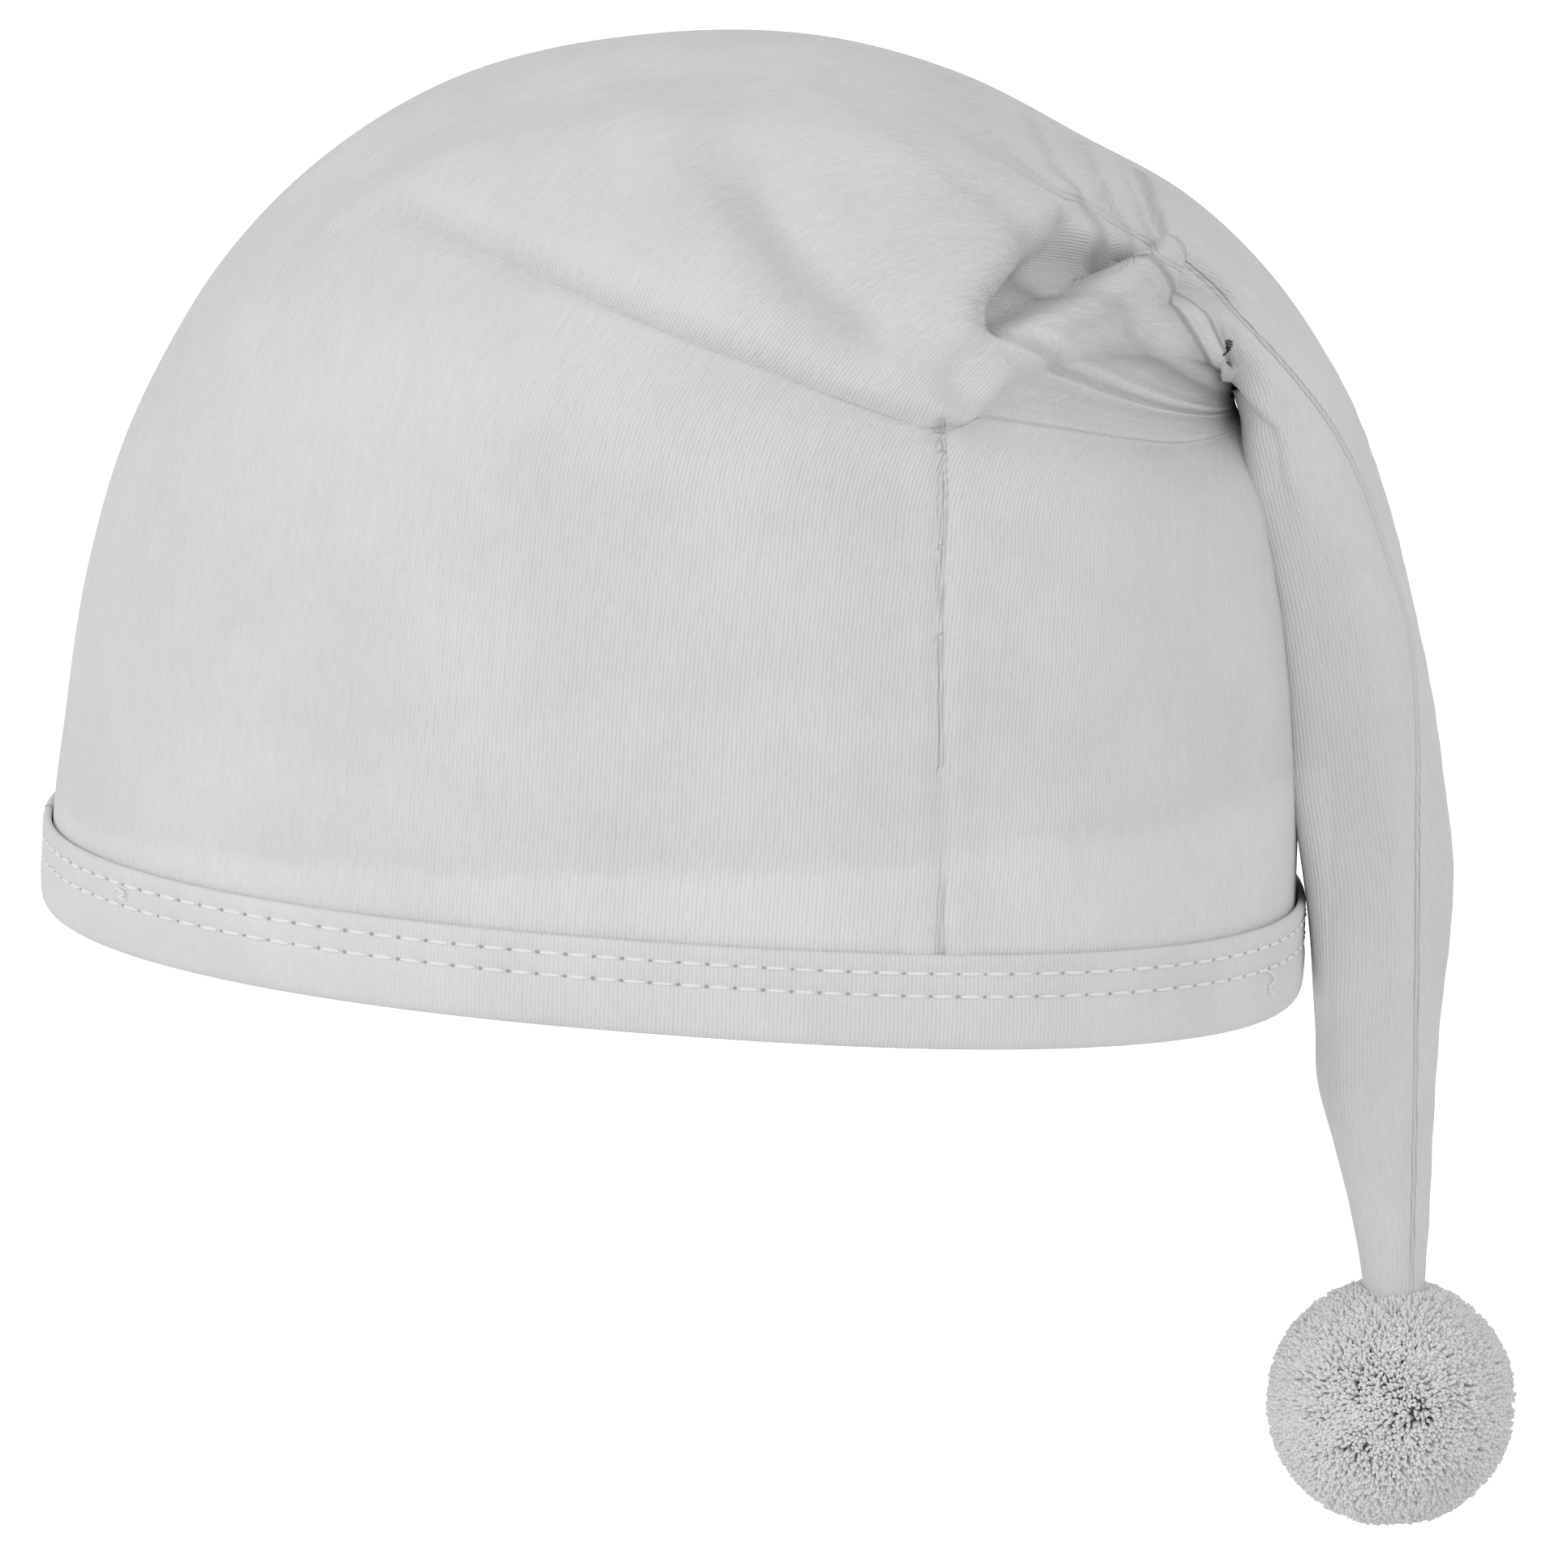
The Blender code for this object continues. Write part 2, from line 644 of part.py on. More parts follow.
def build_pompom(finish):
    """The yarn ball's outer form, with a socket for the end of the tail that is sewn into it."""
    rows = section_rows()
    tip = rows[-1]
    ball = pompom_diameter / 2
    at_mouth = [np.interp(-tip[1] - tail_sewn_in, -rows[-9:, 1], rows[-9:, k]) for k in (0, 2, 4)]
    socket = np.array([(at_mouth[0] - at_mouth[1]) / 2, at_mouth[2], 0.0]) + seat_gap
    middle_x = (at_mouth[0] + at_mouth[1]) / 2
    mouth = np.arcsin(socket.max() / ball)
    mouth_level = tip[1] + tail_sewn_in
    middle = np.array([middle_x, 0.0, mouth_level - ball * np.cos(mouth)])
    angle = 2 * np.pi * np.arange(hem_columns // 2) / (hem_columns // 2)
    ring = np.stack([np.cos(angle), -np.sin(angle), 0 * angle], axis=-1)
    level = np.array([0.0, 0.0, 1.0])
    floor = tip[1] - seat_gap
    grid = [np.array([middle_x, 0.0, height]) + socket * ring for height in (floor, mouth_level)]
    for share in np.linspace(0, 1, pompom_rings + 1)[:-1]:
        lean = mouth + 0.05 + (np.pi - mouth - 0.05) * share
        tuft = 1 + 0.022 * np.sin(5 * angle + 7 * lean) + 0.015 * np.sin(3 * angle - 4 * lean)
        grid.append(middle + ball * (np.sin(lean) * ring * tuft[:, None] + np.cos(lean) * level))
    return grid_object("pompom", grid, finish, close_start=True, close_end=True)


for old in list(bpy.data.objects):
    bpy.data.objects.remove(old, do_unlink=True)

build_cap(material("jersey", (0.80, 0.80, 0.80), 0.9))
build_hem_band(material("hem_jersey", (0.82, 0.82, 0.82), 0.9))
build_pompom(material("yarn", (0.76, 0.76, 0.76), 1.0))
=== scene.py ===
"""A white jersey nightcap in its worn form: a sack of jersey whose long tail flops over the crown
and hangs behind, a stitched hem band, and a yarn pompom.

Metres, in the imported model's frame: +Z up, -X the forehead, +X the back of the head, -Y the near
side. Tables give x as shares of half the head length and z as shares of the crown height.
"""

import math

import bpy
import numpy as np
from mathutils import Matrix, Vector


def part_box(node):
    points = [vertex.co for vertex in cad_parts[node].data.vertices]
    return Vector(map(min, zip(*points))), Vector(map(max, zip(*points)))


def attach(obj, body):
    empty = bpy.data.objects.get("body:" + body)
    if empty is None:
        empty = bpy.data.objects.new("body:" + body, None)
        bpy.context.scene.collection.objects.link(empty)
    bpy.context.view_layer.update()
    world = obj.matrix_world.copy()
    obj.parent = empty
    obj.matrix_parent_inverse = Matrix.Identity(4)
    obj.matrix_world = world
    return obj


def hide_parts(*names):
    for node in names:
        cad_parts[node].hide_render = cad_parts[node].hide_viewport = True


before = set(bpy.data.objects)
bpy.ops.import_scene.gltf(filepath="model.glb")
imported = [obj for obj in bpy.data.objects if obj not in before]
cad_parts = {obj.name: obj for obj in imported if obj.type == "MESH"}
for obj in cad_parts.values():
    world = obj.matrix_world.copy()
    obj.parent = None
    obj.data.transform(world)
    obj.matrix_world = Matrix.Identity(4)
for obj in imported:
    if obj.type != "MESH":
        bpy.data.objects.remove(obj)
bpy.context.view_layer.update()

# The sack. Fine white cotton jersey, cut as two panels and sewn edge to edge along the forehead
# and the tail. Worn: the crown is filled by the head, and the long top flops over it in folds.
# Each panel is a closed skin of cloth that meets the other along their shared edge.
head_length = 0.200
head_width = 0.160
crown_height = 0.146
rim_rise = 0.0074
cloth = 0.0012
hem_height = 0.015
hem_cloth = 0.0010
hem_turn = 0.0020
hem_clearance = 0.0005
seat_gap = 0.0003
tail_depth = 0.0212
tail_width = 0.044
tail_drop = 0.0680
layer_height = 0.0062
roll_radius = 0.0044
ridge_clear = 0.0012
ridge_blend = 0.0100
half_length = head_length / 2
half_width = head_width / 2
millimetre = 0.001
hem_bulge = 1.5 * hem_cloth
hem_stand_off = hem_clearance + hem_bulge + seat_gap
side_view = np.array([half_length, crown_height])
head_oval = 2.3

# How finely the cloth is drawn: columns over the near and the far half of each ring, and rows
# between two sections of the wall, the folds and the tail. All are multiples of coarser, the
# step of the inner skin.
coarser = 3
near_columns = 240
far_columns = 120
wall_rows = 9
fold_rows = 21
tail_rows = 8
first_fold_section = 6
first_tail_section = 16
soften_passes = 3

# The crown's sections, from the hem to the bend behind the crown. Each is an oval between a point
# on the outer outline (forehead, top, back) and one on the inner outline (nape, bend).
# outer_x and inner_x are shares of half the head length, outer_z and inner_z of the crown height,
# half_width of half the head width. fullness moves the widest place towards the outer point.
CROWN_SECTIONS = [
    # outer_x, outer_z, inner_x, inner_z, half_width, fullness, squareness
    (-0.983, 0.000, 0.985, 0.000, 0.978, 0.00, 2.30),
    (-0.980, 0.100, 0.990, 0.100, 0.982, 0.00, 2.30),
    (-0.962, 0.205, 0.994, 0.215, 0.985, 0.00, 2.30),
    (-0.927, 0.370, 0.984, 0.365, 0.966, 0.00, 2.26),
    (-0.869, 0.518, 0.962, 0.475, 0.925, 0.00, 2.22),
    (-0.808, 0.614, 0.932, 0.550, 0.880, 0.00, 2.18),
    (-0.720, 0.719, 0.912, 0.585, 0.838, 0.00, 2.15),
    (-0.588, 0.824, 0.903, 0.600, 0.782, 0.00, 2.12),
    (-0.355, 0.933, 0.898, 0.610, 0.715, 0.00, 2.10),
    (-0.050, 0.985, 0.895, 0.618, 0.640, 0.02, 2.08),
    (0.247, 0.982, 0.893, 0.626, 0.560, 0.05, 2.05),
    (0.444, 0.943, 0.895, 0.633, 0.480, 0.10, 2.02),
    (0.647, 0.869, 0.900, 0.638, 0.400, 0.15, 2.00),
    (0.808, 0.805, 0.893, 0.640, 0.335, 0.22, 2.00),
    (0.953, 0.706, 0.884, 0.630, 0.300, 0.30, 2.00),
]

# The tail's sections, from the bend to the tip. height is a share of the crown height above the
# rim and of the tail's drop below it. behind is how far the inner side stands off the cap's
# back, and depth the section's size from there backwards, both as shares of the tail's depth.
# hug is how closely the inner side follows the round of the head.
TAIL_SECTIONS = [
    # height, behind, depth, half_width, fullness, squareness, inner_squareness, hug
    (0.600, -0.150, 0.880, 1.00, 0.20, 2.10, 2.80, 1.60),
    (0.517, -0.120, 0.965, 0.97, 0.14, 2.20, 4.00, 1.30),
    (0.390, -0.095, 1.015, 0.93, 0.10, 2.20, 5.50, 1.00),
    (0.300, -0.090, 1.080, 0.89, 0.10, 2.20, 5.50, 1.00),
    (0.190, -0.080, 1.155, 0.84, 0.10, 2.20, 5.50, 1.00),
    (0.085, -0.060, 1.130, 0.79, 0.10, 2.20, 5.00, 1.00),
    (-0.010, 0.032, 1.030, 0.74, 0.10, 2.20, 4.40, 0.90),
    (-0.165, 0.065, 0.943, 0.67, 0.10, 2.20, 3.60, 0.60),
    (-0.330, 0.112, 0.858, 0.59, 0.10, 2.20, 3.00, 0.30),
    (-0.485, 0.217, 0.731, 0.49, 0.10, 2.15, 2.70, 0.10),
    (-0.645, 0.342, 0.590, 0.39, 0.08, 2.10, 2.40, 0.00),
    (-0.800, 0.432, 0.476, 0.30, 0.05, 2.05, 2.20, 0.00),
    (-0.900, 0.464, 0.425, 0.26, 0.03, 2.05, 2.10, 0.00),
    (-1.000, 0.487, 0.380, 0.22, 0.00, 2.05, 2.05, 0.00),
]

# Outlines of the cloth layers and lines of the folds in the side view: x as shares of half the
# head length, z as shares of the crown height. An outline runs past the ridge over the top where
# its layer goes on to the other side.
BEND_HOLLOW = [
    (0.480, 0.671), (0.660, 0.695), (0.800, 0.678), (0.900, 0.634), (0.950, 0.603),
    (0.940, 0.534), (0.860, 0.466), (0.740, 0.548), (0.580, 0.616),
]
BEND_LAYER = [
    (0.600, 0.692), (0.665, 0.699), (0.730, 0.692), (0.804, 0.679), (0.860, 0.658),
    (0.902, 0.630), (0.942, 0.600), (0.980, 0.589), (0.970, 0.664), (0.940, 0.699),
    (0.900, 0.740), (0.860, 0.788), (0.780, 0.795), (0.700, 0.753),
]
POCKET = [
    (0.450, 0.671), (0.445, 0.712), (0.450, 0.753), (0.490, 0.795), (0.540, 0.825),
    (0.595, 0.848), (0.660, 0.863), (0.760, 0.849), (0.860, 0.808), (0.930, 0.767),
    (0.930, 0.726), (0.880, 0.705), (0.800, 0.719), (0.720, 0.733), (0.620, 0.712),
    (0.520, 0.685),
]
TOP_STRIP = [
    (0.560, 0.846), (0.600, 0.827), (0.640, 0.812), (0.700, 0.799), (0.760, 0.787),
    (0.840, 0.774), (0.920, 0.760), (0.970, 0.733), (1.040, 0.767), (0.920, 0.904),
    (0.720, 1.000), (0.580, 0.959),
]
TAIL_FACE = [
    (0.830, 0.788), (0.880, 0.733), (0.915, 0.695), (0.942, 0.658), (0.950, 0.616),
    (0.955, 0.575), (0.980, 0.507), (1.240, 0.411), (1.280, 0.616), (1.120, 0.836),
    (0.940, 0.877),
]
FLAP = [
    (-0.620, 0.671), (-0.540, 0.795), (-0.430, 0.838), (-0.320, 0.829), (-0.130, 0.788),
    (0.040, 0.740), (0.200, 0.699), (0.350, 0.660), (0.410, 0.647), (0.450, 0.649),
    (0.475, 0.671), (0.460, 0.712), (0.460, 0.747), (0.505, 0.788), (0.545, 0.814),
    (0.595, 0.835), (0.635, 0.845), (0.690, 0.847), (0.750, 0.833), (0.820, 0.808),
    (0.900, 0.775), (0.980, 0.740), (1.120, 0.822), (0.960, 1.027), (0.000, 1.199),
    (-0.700, 1.130), (-1.000, 0.856),
]
FAR_BEND_HOLLOW = [
    (0.500, 0.685), (0.660, 0.699), (0.800, 0.678), (0.920, 0.630), (0.950, 0.589),
    (0.920, 0.507), (0.780, 0.534), (0.600, 0.616),
]
FAR_POCKET = [
    (0.440, 0.685), (0.460, 0.740), (0.540, 0.788), (0.660, 0.822), (0.780, 0.808),
    (0.880, 0.760), (0.900, 0.705), (0.780, 0.712), (0.640, 0.705),
]
FAR_FLAP = [
    (-0.740, 0.671), (-0.620, 0.774), (-0.460, 0.815), (-0.260, 0.784), (-0.050, 0.736),
    (0.180, 0.692), (0.340, 0.664), (0.420, 0.658), (0.470, 0.678), (0.480, 0.726),
    (0.560, 0.777), (0.660, 0.812), (0.780, 0.798), (0.900, 0.753), (1.000, 0.726),
    (1.120, 0.822), (0.960, 1.027), (0.000, 1.199), (-0.800, 1.130), (-1.040, 0.822),
]
POCKET_ROLL = [
    (0.400, 0.664), (0.450, 0.678), (0.510, 0.699), (0.610, 0.722), (0.695, 0.747),
    (0.755, 0.771), (0.785, 0.801),
]
FAR_ROLL = [
    (0.400, 0.678), (0.540, 0.702), (0.670, 0.726), (0.800, 0.733),
]
STRIP_CREASE = [
    (0.710, 0.846), (0.800, 0.808), (0.890, 0.773), (0.940, 0.750),
]
FLAP_CREASE = [
    (0.050, 0.911), (0.110, 0.873), (0.145, 0.849), (0.200, 0.799), (0.270, 0.760),
    (0.360, 0.699),
]
FLAP_BANK = [
    (0.000, 0.856), (0.080, 0.801), (0.160, 0.743), (0.250, 0.695),
]
CROWN_SWELL = [
    (-0.120, 0.897), (-0.020, 0.908), (0.090, 0.890),
]
HOOK_RIDGE = [
    (-0.580, 0.692), (-0.555, 0.753), (-0.500, 0.815), (-0.440, 0.839), (-0.360, 0.836),
]
HOOK_CREASE = [
    (-0.540, 0.785), (-0.495, 0.822), (-0.450, 0.845), (-0.415, 0.860),
]
LIP_BUMP = [
    (0.460, 0.781), (0.435, 0.740), (0.440, 0.702), (0.460, 0.671),
]
TAIL_TWIST = [
    (1.010, -0.089), (1.060, -0.164), (1.100, -0.212), (1.140, -0.260), (1.160, -0.308),
]
FAR_CREASE = [
    (-0.080, 0.877), (0.040, 0.808), (0.140, 0.743), (0.220, 0.712),
]

# Layers of cloth in the order in which they lie on each other. side is -1 for the near side. level
# is the layer's height over the plain crown as a share of layer_height. Its edge is rounded over
# round and pushed out by tuck. The level sinks by sag over the reach inside the edge. It
# comes in between the first two places along x, and goes out between the last two.
everywhere = (-2.0, -1.9, 1.8, 1.9)
LAYERS = [
    # side, outline, level, round, tuck, sag, reach, x_in, x_full, x_fading, x_out
    (-1, BEND_HOLLOW, -0.46, 0.0100, 0.0000, 0.0, 0.020, -2.0, -1.9, 0.84, 0.97),
    (-1, BEND_LAYER, 0.45, 0.0026, 0.0010, 0.0, 0.020, *everywhere),
    (-1, POCKET, -1.15, 0.0060, 0.0000, 0.0, 0.020, *everywhere),
    (-1, TOP_STRIP, 0.15, 0.0022, 0.0012, 0.0, 0.020, *everywhere),
    (-1, TAIL_FACE, 0.22, 0.0034, 0.0004, 1.0, 0.016, -2.0, -1.9, 0.95, 1.05),
    (-1, FLAP, 1.05, 0.0022, 0.0030, 0.6, 0.040, -0.68, -0.30, 0.78, 1.00),
    (1, FAR_BEND_HOLLOW, -0.40, 0.0120, 0.0000, 0.0, 0.020, *everywhere),
    (1, FAR_POCKET, -0.70, 0.0080, 0.0000, 0.0, 0.020, *everywhere),
    (1, FAR_FLAP, 0.90, 0.0034, 0.0020, 0.5, 0.045, -0.76, -0.16, 0.62, 0.86),
]

# Cloth rolled into a tube that lies on the layers.
ROLLS = [
    # side, line, level, fade_in, fade_out
    (-1, POCKET_ROLL, 0.30, 0.16, 0.10),
    (1, FAR_ROLL, 0.00, 0.30, 0.30),
]

# Folds that stand up along their line, or sink where the height is negative. Heights are shares
# of the layer height.
RIDGES = [
    # side, line, height, width, fade_in, fade_out
    (-1, STRIP_CREASE, -0.18, 0.0028, 0.30, 0.30),
    (-1, FLAP_CREASE, -0.70, 0.0046, 0.35, 0.14),
    (-1, FLAP_BANK, 0.28, 0.0080, 0.40, 0.40),
    (-1, CROWN_SWELL, 0.28, 0.0095, 0.45, 0.45),
    (-1, HOOK_RIDGE, 0.34, 0.0034, 0.40, 0.40),
    (-1, HOOK_CREASE, -0.16, 0.0030, 0.40, 0.40),
    (-1, LIP_BUMP, 0.30, 0.0036, 0.35, 0.35),
    (-1, TAIL_TWIST, 0.20, 0.0030, 0.35, 0.30),
    (1, FAR_CREASE, -0.45, 0.0060, 0.40, 0.25),
]

# Soft wrinkles of the wall: a line of three places, with height and width in millimetres.
wrinkle_strength = 1.7
wrinkle_fade = 0.4
WRINKLES = [
    # side, x and z of the start, of the middle and of the end, height, width
    (-1, (0.05, 0.575), (0.22, 0.560), (0.41, 0.520), 0.55, 3.2),
    (-1, (0.44, 0.510), (0.52, 0.495), (0.61, 0.470), 0.45, 2.8),
    (-1, (-0.27, 0.262), (0.05, 0.222), (0.41, 0.198), 0.40, 3.0),
    (-1, (0.45, 0.215), (0.72, 0.232), (0.97, 0.262), 0.45, 3.2),
    (-1, (0.46, 0.275), (0.66, 0.245), (0.86, 0.222), -0.40, 2.8),
    (-1, (-0.20, 0.480), (0.10, 0.450), (0.38, 0.430), 0.30, 5.0),
    (-1, (0.47, 0.400), (0.68, 0.372), (0.92, 0.380), 0.30, 4.5),
    (-1, (-0.72, 0.420), (-0.52, 0.400), (-0.28, 0.405), 0.22, 6.0),
    (-1, (-0.80, 0.240), (-0.60, 0.222), (-0.38, 0.230), 0.22, 4.0),
    (-1, (0.90, 0.640), (0.915, 0.520), (0.93, 0.410), 0.40, 2.6),
    (1, (-0.60, 0.450), (-0.30, 0.420), (0.05, 0.430), 0.50, 4.0),
    (1, (-0.30, 0.250), (0.05, 0.235), (0.38, 0.215), 0.45, 3.4),
    (1, (0.44, 0.500), (0.62, 0.480), (0.84, 0.470), 0.50, 3.6),
    (1, (0.44, 0.260), (0.66, 0.280), (0.90, 0.250), 0.40, 3.4),
    (1, (0.00, 0.580), (0.18, 0.570), (0.36, 0.545), 0.50, 3.4),
]

# The panels' side seams, as lines in the side view, and where the cloth is backed by what is
# turned in above the hem: below a soft line, which has its own places along x.
WALL_SEAM = [
    (0.424, 0.030), (0.422, 0.120), (0.424, 0.210), (0.420, 0.330), (0.421, 0.465),
    (0.427, 0.550), (0.425, 0.615), (0.421, 0.650),
]
TAIL_SEAM = [
    (0.426, 0.922), (0.529, 0.892), (0.632, 0.848), (0.706, 0.815), (0.800, 0.772),
    (0.900, 0.705), (0.985, 0.638), (1.046, 0.579), (1.094, 0.512), (1.128, 0.443),
    (1.166, 0.355), (1.179, 0.250), (1.179, 0.130), (1.180, -0.040), (1.181, -0.226),
    (1.177, -0.450),
]
FAR_WALL_SEAM = [
    (0.410, 0.030), (0.414, 0.210), (0.405, 0.400), (0.412, 0.560), (0.400, 0.700),
]
BACKED_LINE = [
    # x, z
    (-1.10, 0.170), (-0.77, 0.177), (-0.17, 0.180), (0.35, 0.186), (0.42, 0.200), (0.80, 0.206),
    (1.10, 0.216),
]
backed_blend = 0.0022
backed_back_end = 0.104
SEAMS = [
    # side, line, share of its length over which it fades out at its ends, how much it puckers
    (-1, WALL_SEAM, 0.03, 1.0),
    (-1, TAIL_SEAM, 0.06, 0.25),
    (1, FAR_WALL_SEAM, 0.06, 1.0),
]
# How the cloth puckers along a seam, how it sinks at the seam and stands up beside it.
seam_pucker = 0.00030
seam_pucker_length = 0.0062
seam_pucker_reach = 0.0060
seam_pucker_start = 0.0008
seam_groove = 0.00034
seam_groove_reach = 0.0013
seam_shoulder = 0.00026
seam_shoulder_away = 0.0031
seam_shoulder_reach = 0.0018
# Within three times this of a seam, the painted shade along it may show.
seam_shade_reach = 0.0008


def smooth(share):
    """0 below 0, 1 above 1, and a soft rise between."""
    share = np.clip(share, 0.0, 1.0)
    return share * share * (3.0 - 2.0 * share)


def curve_through(points, count):
    """A smooth curve through the rows of points, as count rows spaced along it."""
    points = np.asarray(points, float)
    steps = np.sqrt(np.linalg.norm(np.diff(points[:, :2], axis=0), axis=1))
    knots = np.concatenate([[0.0], np.cumsum(steps)])
    return hermite(knots, points, np.linspace(0.0, knots[-1], count))


def hermite(knots, values, places):
    """Cubic curve through values at knots, read at places."""
    slopes = np.gradient(values, knots, axis=0)
    index = np.clip(np.searchsorted(knots, places, side="right") - 1, 0, len(knots) - 2)
    span = knots[index + 1] - knots[index]
    share = ((places - knots[index]) / span)[:, None]
    span = span[:, None]
    start, end = values[index], values[index + 1]
    rise = start * (1 + 2 * share) * (1 - share) ** 2 + end * share**2 * (3 - 2 * share)
    bend = slopes[index] * share * (1 - share) ** 2 - slopes[index + 1] * share**2 * (1 - share)
    return rise + span * bend


def section_rows():
    """Every section in metres: outer x and z, inner x and z, half width, then its shape."""
    rows = []
    for outer_x, outer_z, inner_x, inner_z, width, fullness, squareness in CROWN_SECTIONS:
        outer_height = outer_z * crown_height + (1 - outer_z) * rim_rise
        inner_height = inner_z * crown_height - (1 - inner_z) * rim_rise
        rows.append(
            (
                outer_x * half_length,
                outer_height + (hem_turn if outer_z == 0 else 0),
                inner_x * half_length,
                inner_height + (hem_turn if inner_z == 0 else 0),
                width * half_width,
                fullness,
                squareness,
                squareness,
                0.0,
            )
        )
    back_x, back_z = np.array(rows)[:7, 2], np.array(rows)[:7, 3]
    for height, behind, depth, width, fullness, square, inner_square, hug in TAIL_SECTIONS:
        level = height * (crown_height if height > 0 else tail_drop)
        past_hem = hem_stand_off * smooth((1.9 * hem_height - level) / hem_height)
        inner_x = np.interp(level, back_z, back_x) + past_hem + behind * tail_depth
        outer_x = inner_x + depth * tail_depth
        across = width * tail_width / 2
        rows.append(
            (outer_x, level, inner_x, level, across, fullness, square, inner_square, hug)
        )
    return np.array(rows)


def section_points(rows, turns):
    """Points of each section at each turn: 0 is the outer point, a quarter the near side."""
    outer_x, outer_z, inner_x, inner_z, width, fullness, outer_square, inner_square, hug = (
        rows.T[:, :, None]
    )
    angle = 2 * np.pi * turns[None, :]
    power = 2.0 / np.where(np.cos(angle) > 0, outer_square, inner_square)
    along = np.sign(np.cos(angle)) * np.abs(np.cos(angle)) ** power
    across = np.sign(np.sin(angle)) * np.abs(np.sin(angle)) ** power
    along = along + fullness * (1 - along**2)
    x = (outer_x + inner_x) / 2 + (outer_x - inner_x) / 2 * along
    z = (outer_z + inner_z) / 2 + (outer_z - inner_z) / 2 * along
    y = -width * across
    head_curve = 1 - (1 - (np.abs(y) / half_width) ** head_oval) ** (1 / head_oval)
    x = x - hug * half_length * head_curve * smooth((1 - along) / 2)
    return np.stack([x, y, z], axis=-1)


def outward(points):
    """Unit normals of a grid of points whose columns close into rings."""
    round_ring = np.roll(points, -1, axis=1) - np.roll(points, 1, axis=1)
    up_rows = np.gradient(points, axis=0)
    normal = np.cross(round_ring, up_rows)
    return normal / np.maximum(np.linalg.norm(normal, axis=-1, keepdims=True), 1e-12)


def beside_line(points, line):
    """Signed distance to a line in the side view, above it positive, and the share along it."""
    path = curve_through(np.array(line) * side_view, 60)
    start, step = path[:-1], np.diff(path, axis=0)
    flat = points[..., [0, 2]].reshape(-1, 1, 2)
    length2 = (step**2).sum(axis=1)
    share = np.clip(((flat - start) * step).sum(axis=2) / length2, 0.0, 1.0)
    away = flat - start - share[..., None] * step
    distance = np.linalg.norm(away, axis=2)
    nearest = distance.argmin(axis=1)
    pick = np.arange(len(nearest))
    side = step[nearest, 0] * away[pick, nearest, 1] - step[nearest, 1] * away[pick, nearest, 0]
    signed = np.sign(side) * distance[pick, nearest]
    along = (nearest + share[pick, nearest]) / len(start)
    return signed.reshape(points.shape[:-1]), along.reshape(points.shape[:-1])


def inside_outline(points, outline):
    """Distance inside a closed outline in the side view, negative outside it."""
    corners = np.array(outline) * side_view
    corners = curve_through(np.vstack([corners, corners[:1]]), 4 * len(corners))[:-1]
    step = np.roll(corners, -1, axis=0) - corners
    flat = points[..., [0, 2]].reshape(-1, 1, 2) - corners
    share = np.clip((flat * step).sum(axis=2) / (step**2).sum(axis=1), 0.0, 1.0)
    distance = np.linalg.norm(flat - share[..., None] * step, axis=2).min(axis=1)
    above = flat[..., 1] > 0
    below_next = flat[..., 1] <= step[:, 1]
    crosses = above == below_next
    side = step[:, 0] * flat[..., 1] - step[:, 1] * flat[..., 0]
    left = crosses & ((side > 0) == (step[:, 1] > 0))
    within = left.sum(axis=1) % 2 == 1
    return np.where(within, distance, -distance).reshape(points.shape[:-1])


def uphill(points, field):
    """The unit direction on the surface in which field grows."""
    round_ring = (np.roll(points, -1, axis=1) - np.roll(points, 1, axis=1)) / 2
    up_rows = np.gradient(points, axis=0)
    field_round = (np.roll(field, -1, axis=1) - np.roll(field, 1, axis=1)) / 2
    field_up = np.gradient(field, axis=0)
    rr = (round_ring**2).sum(axis=-1)
    uu = (up_rows**2).sum(axis=-1)
    ru = (round_ring * up_rows).sum(axis=-1)
    area = np.maximum(rr * uu - ru**2, 1e-16)
    by_round = (uu * field_round - ru * field_up) / area
    by_up = (rr * field_up - ru * field_round) / area
    slope = by_round[..., None] * round_ring + by_up[..., None] * up_rows
    return slope / np.maximum(np.linalg.norm(slope, axis=-1, keepdims=True), 0.3)


def on_side(points, side):
    """1 well down the stated side, and 0 at the ridge over the top and beyond."""
    ridge = section_rows()[:, :2] / side_view
    below, _ = beside_line(points, ridge)
    return smooth((np.abs(below) - ridge_clear) / ridge_blend) * (side * points[..., 1] > 0)


def even_out(field):
    """Each value of a grid eased towards its neighbours."""
    field = (np.roll(field, 1, axis=1) + 2 * field + np.roll(field, -1, axis=1)) / 4
    middle = (field[:-2] + 2 * field[1:-1] + field[2:]) / 4
    return np.concatenate([field[:1], middle, field[-1:]])


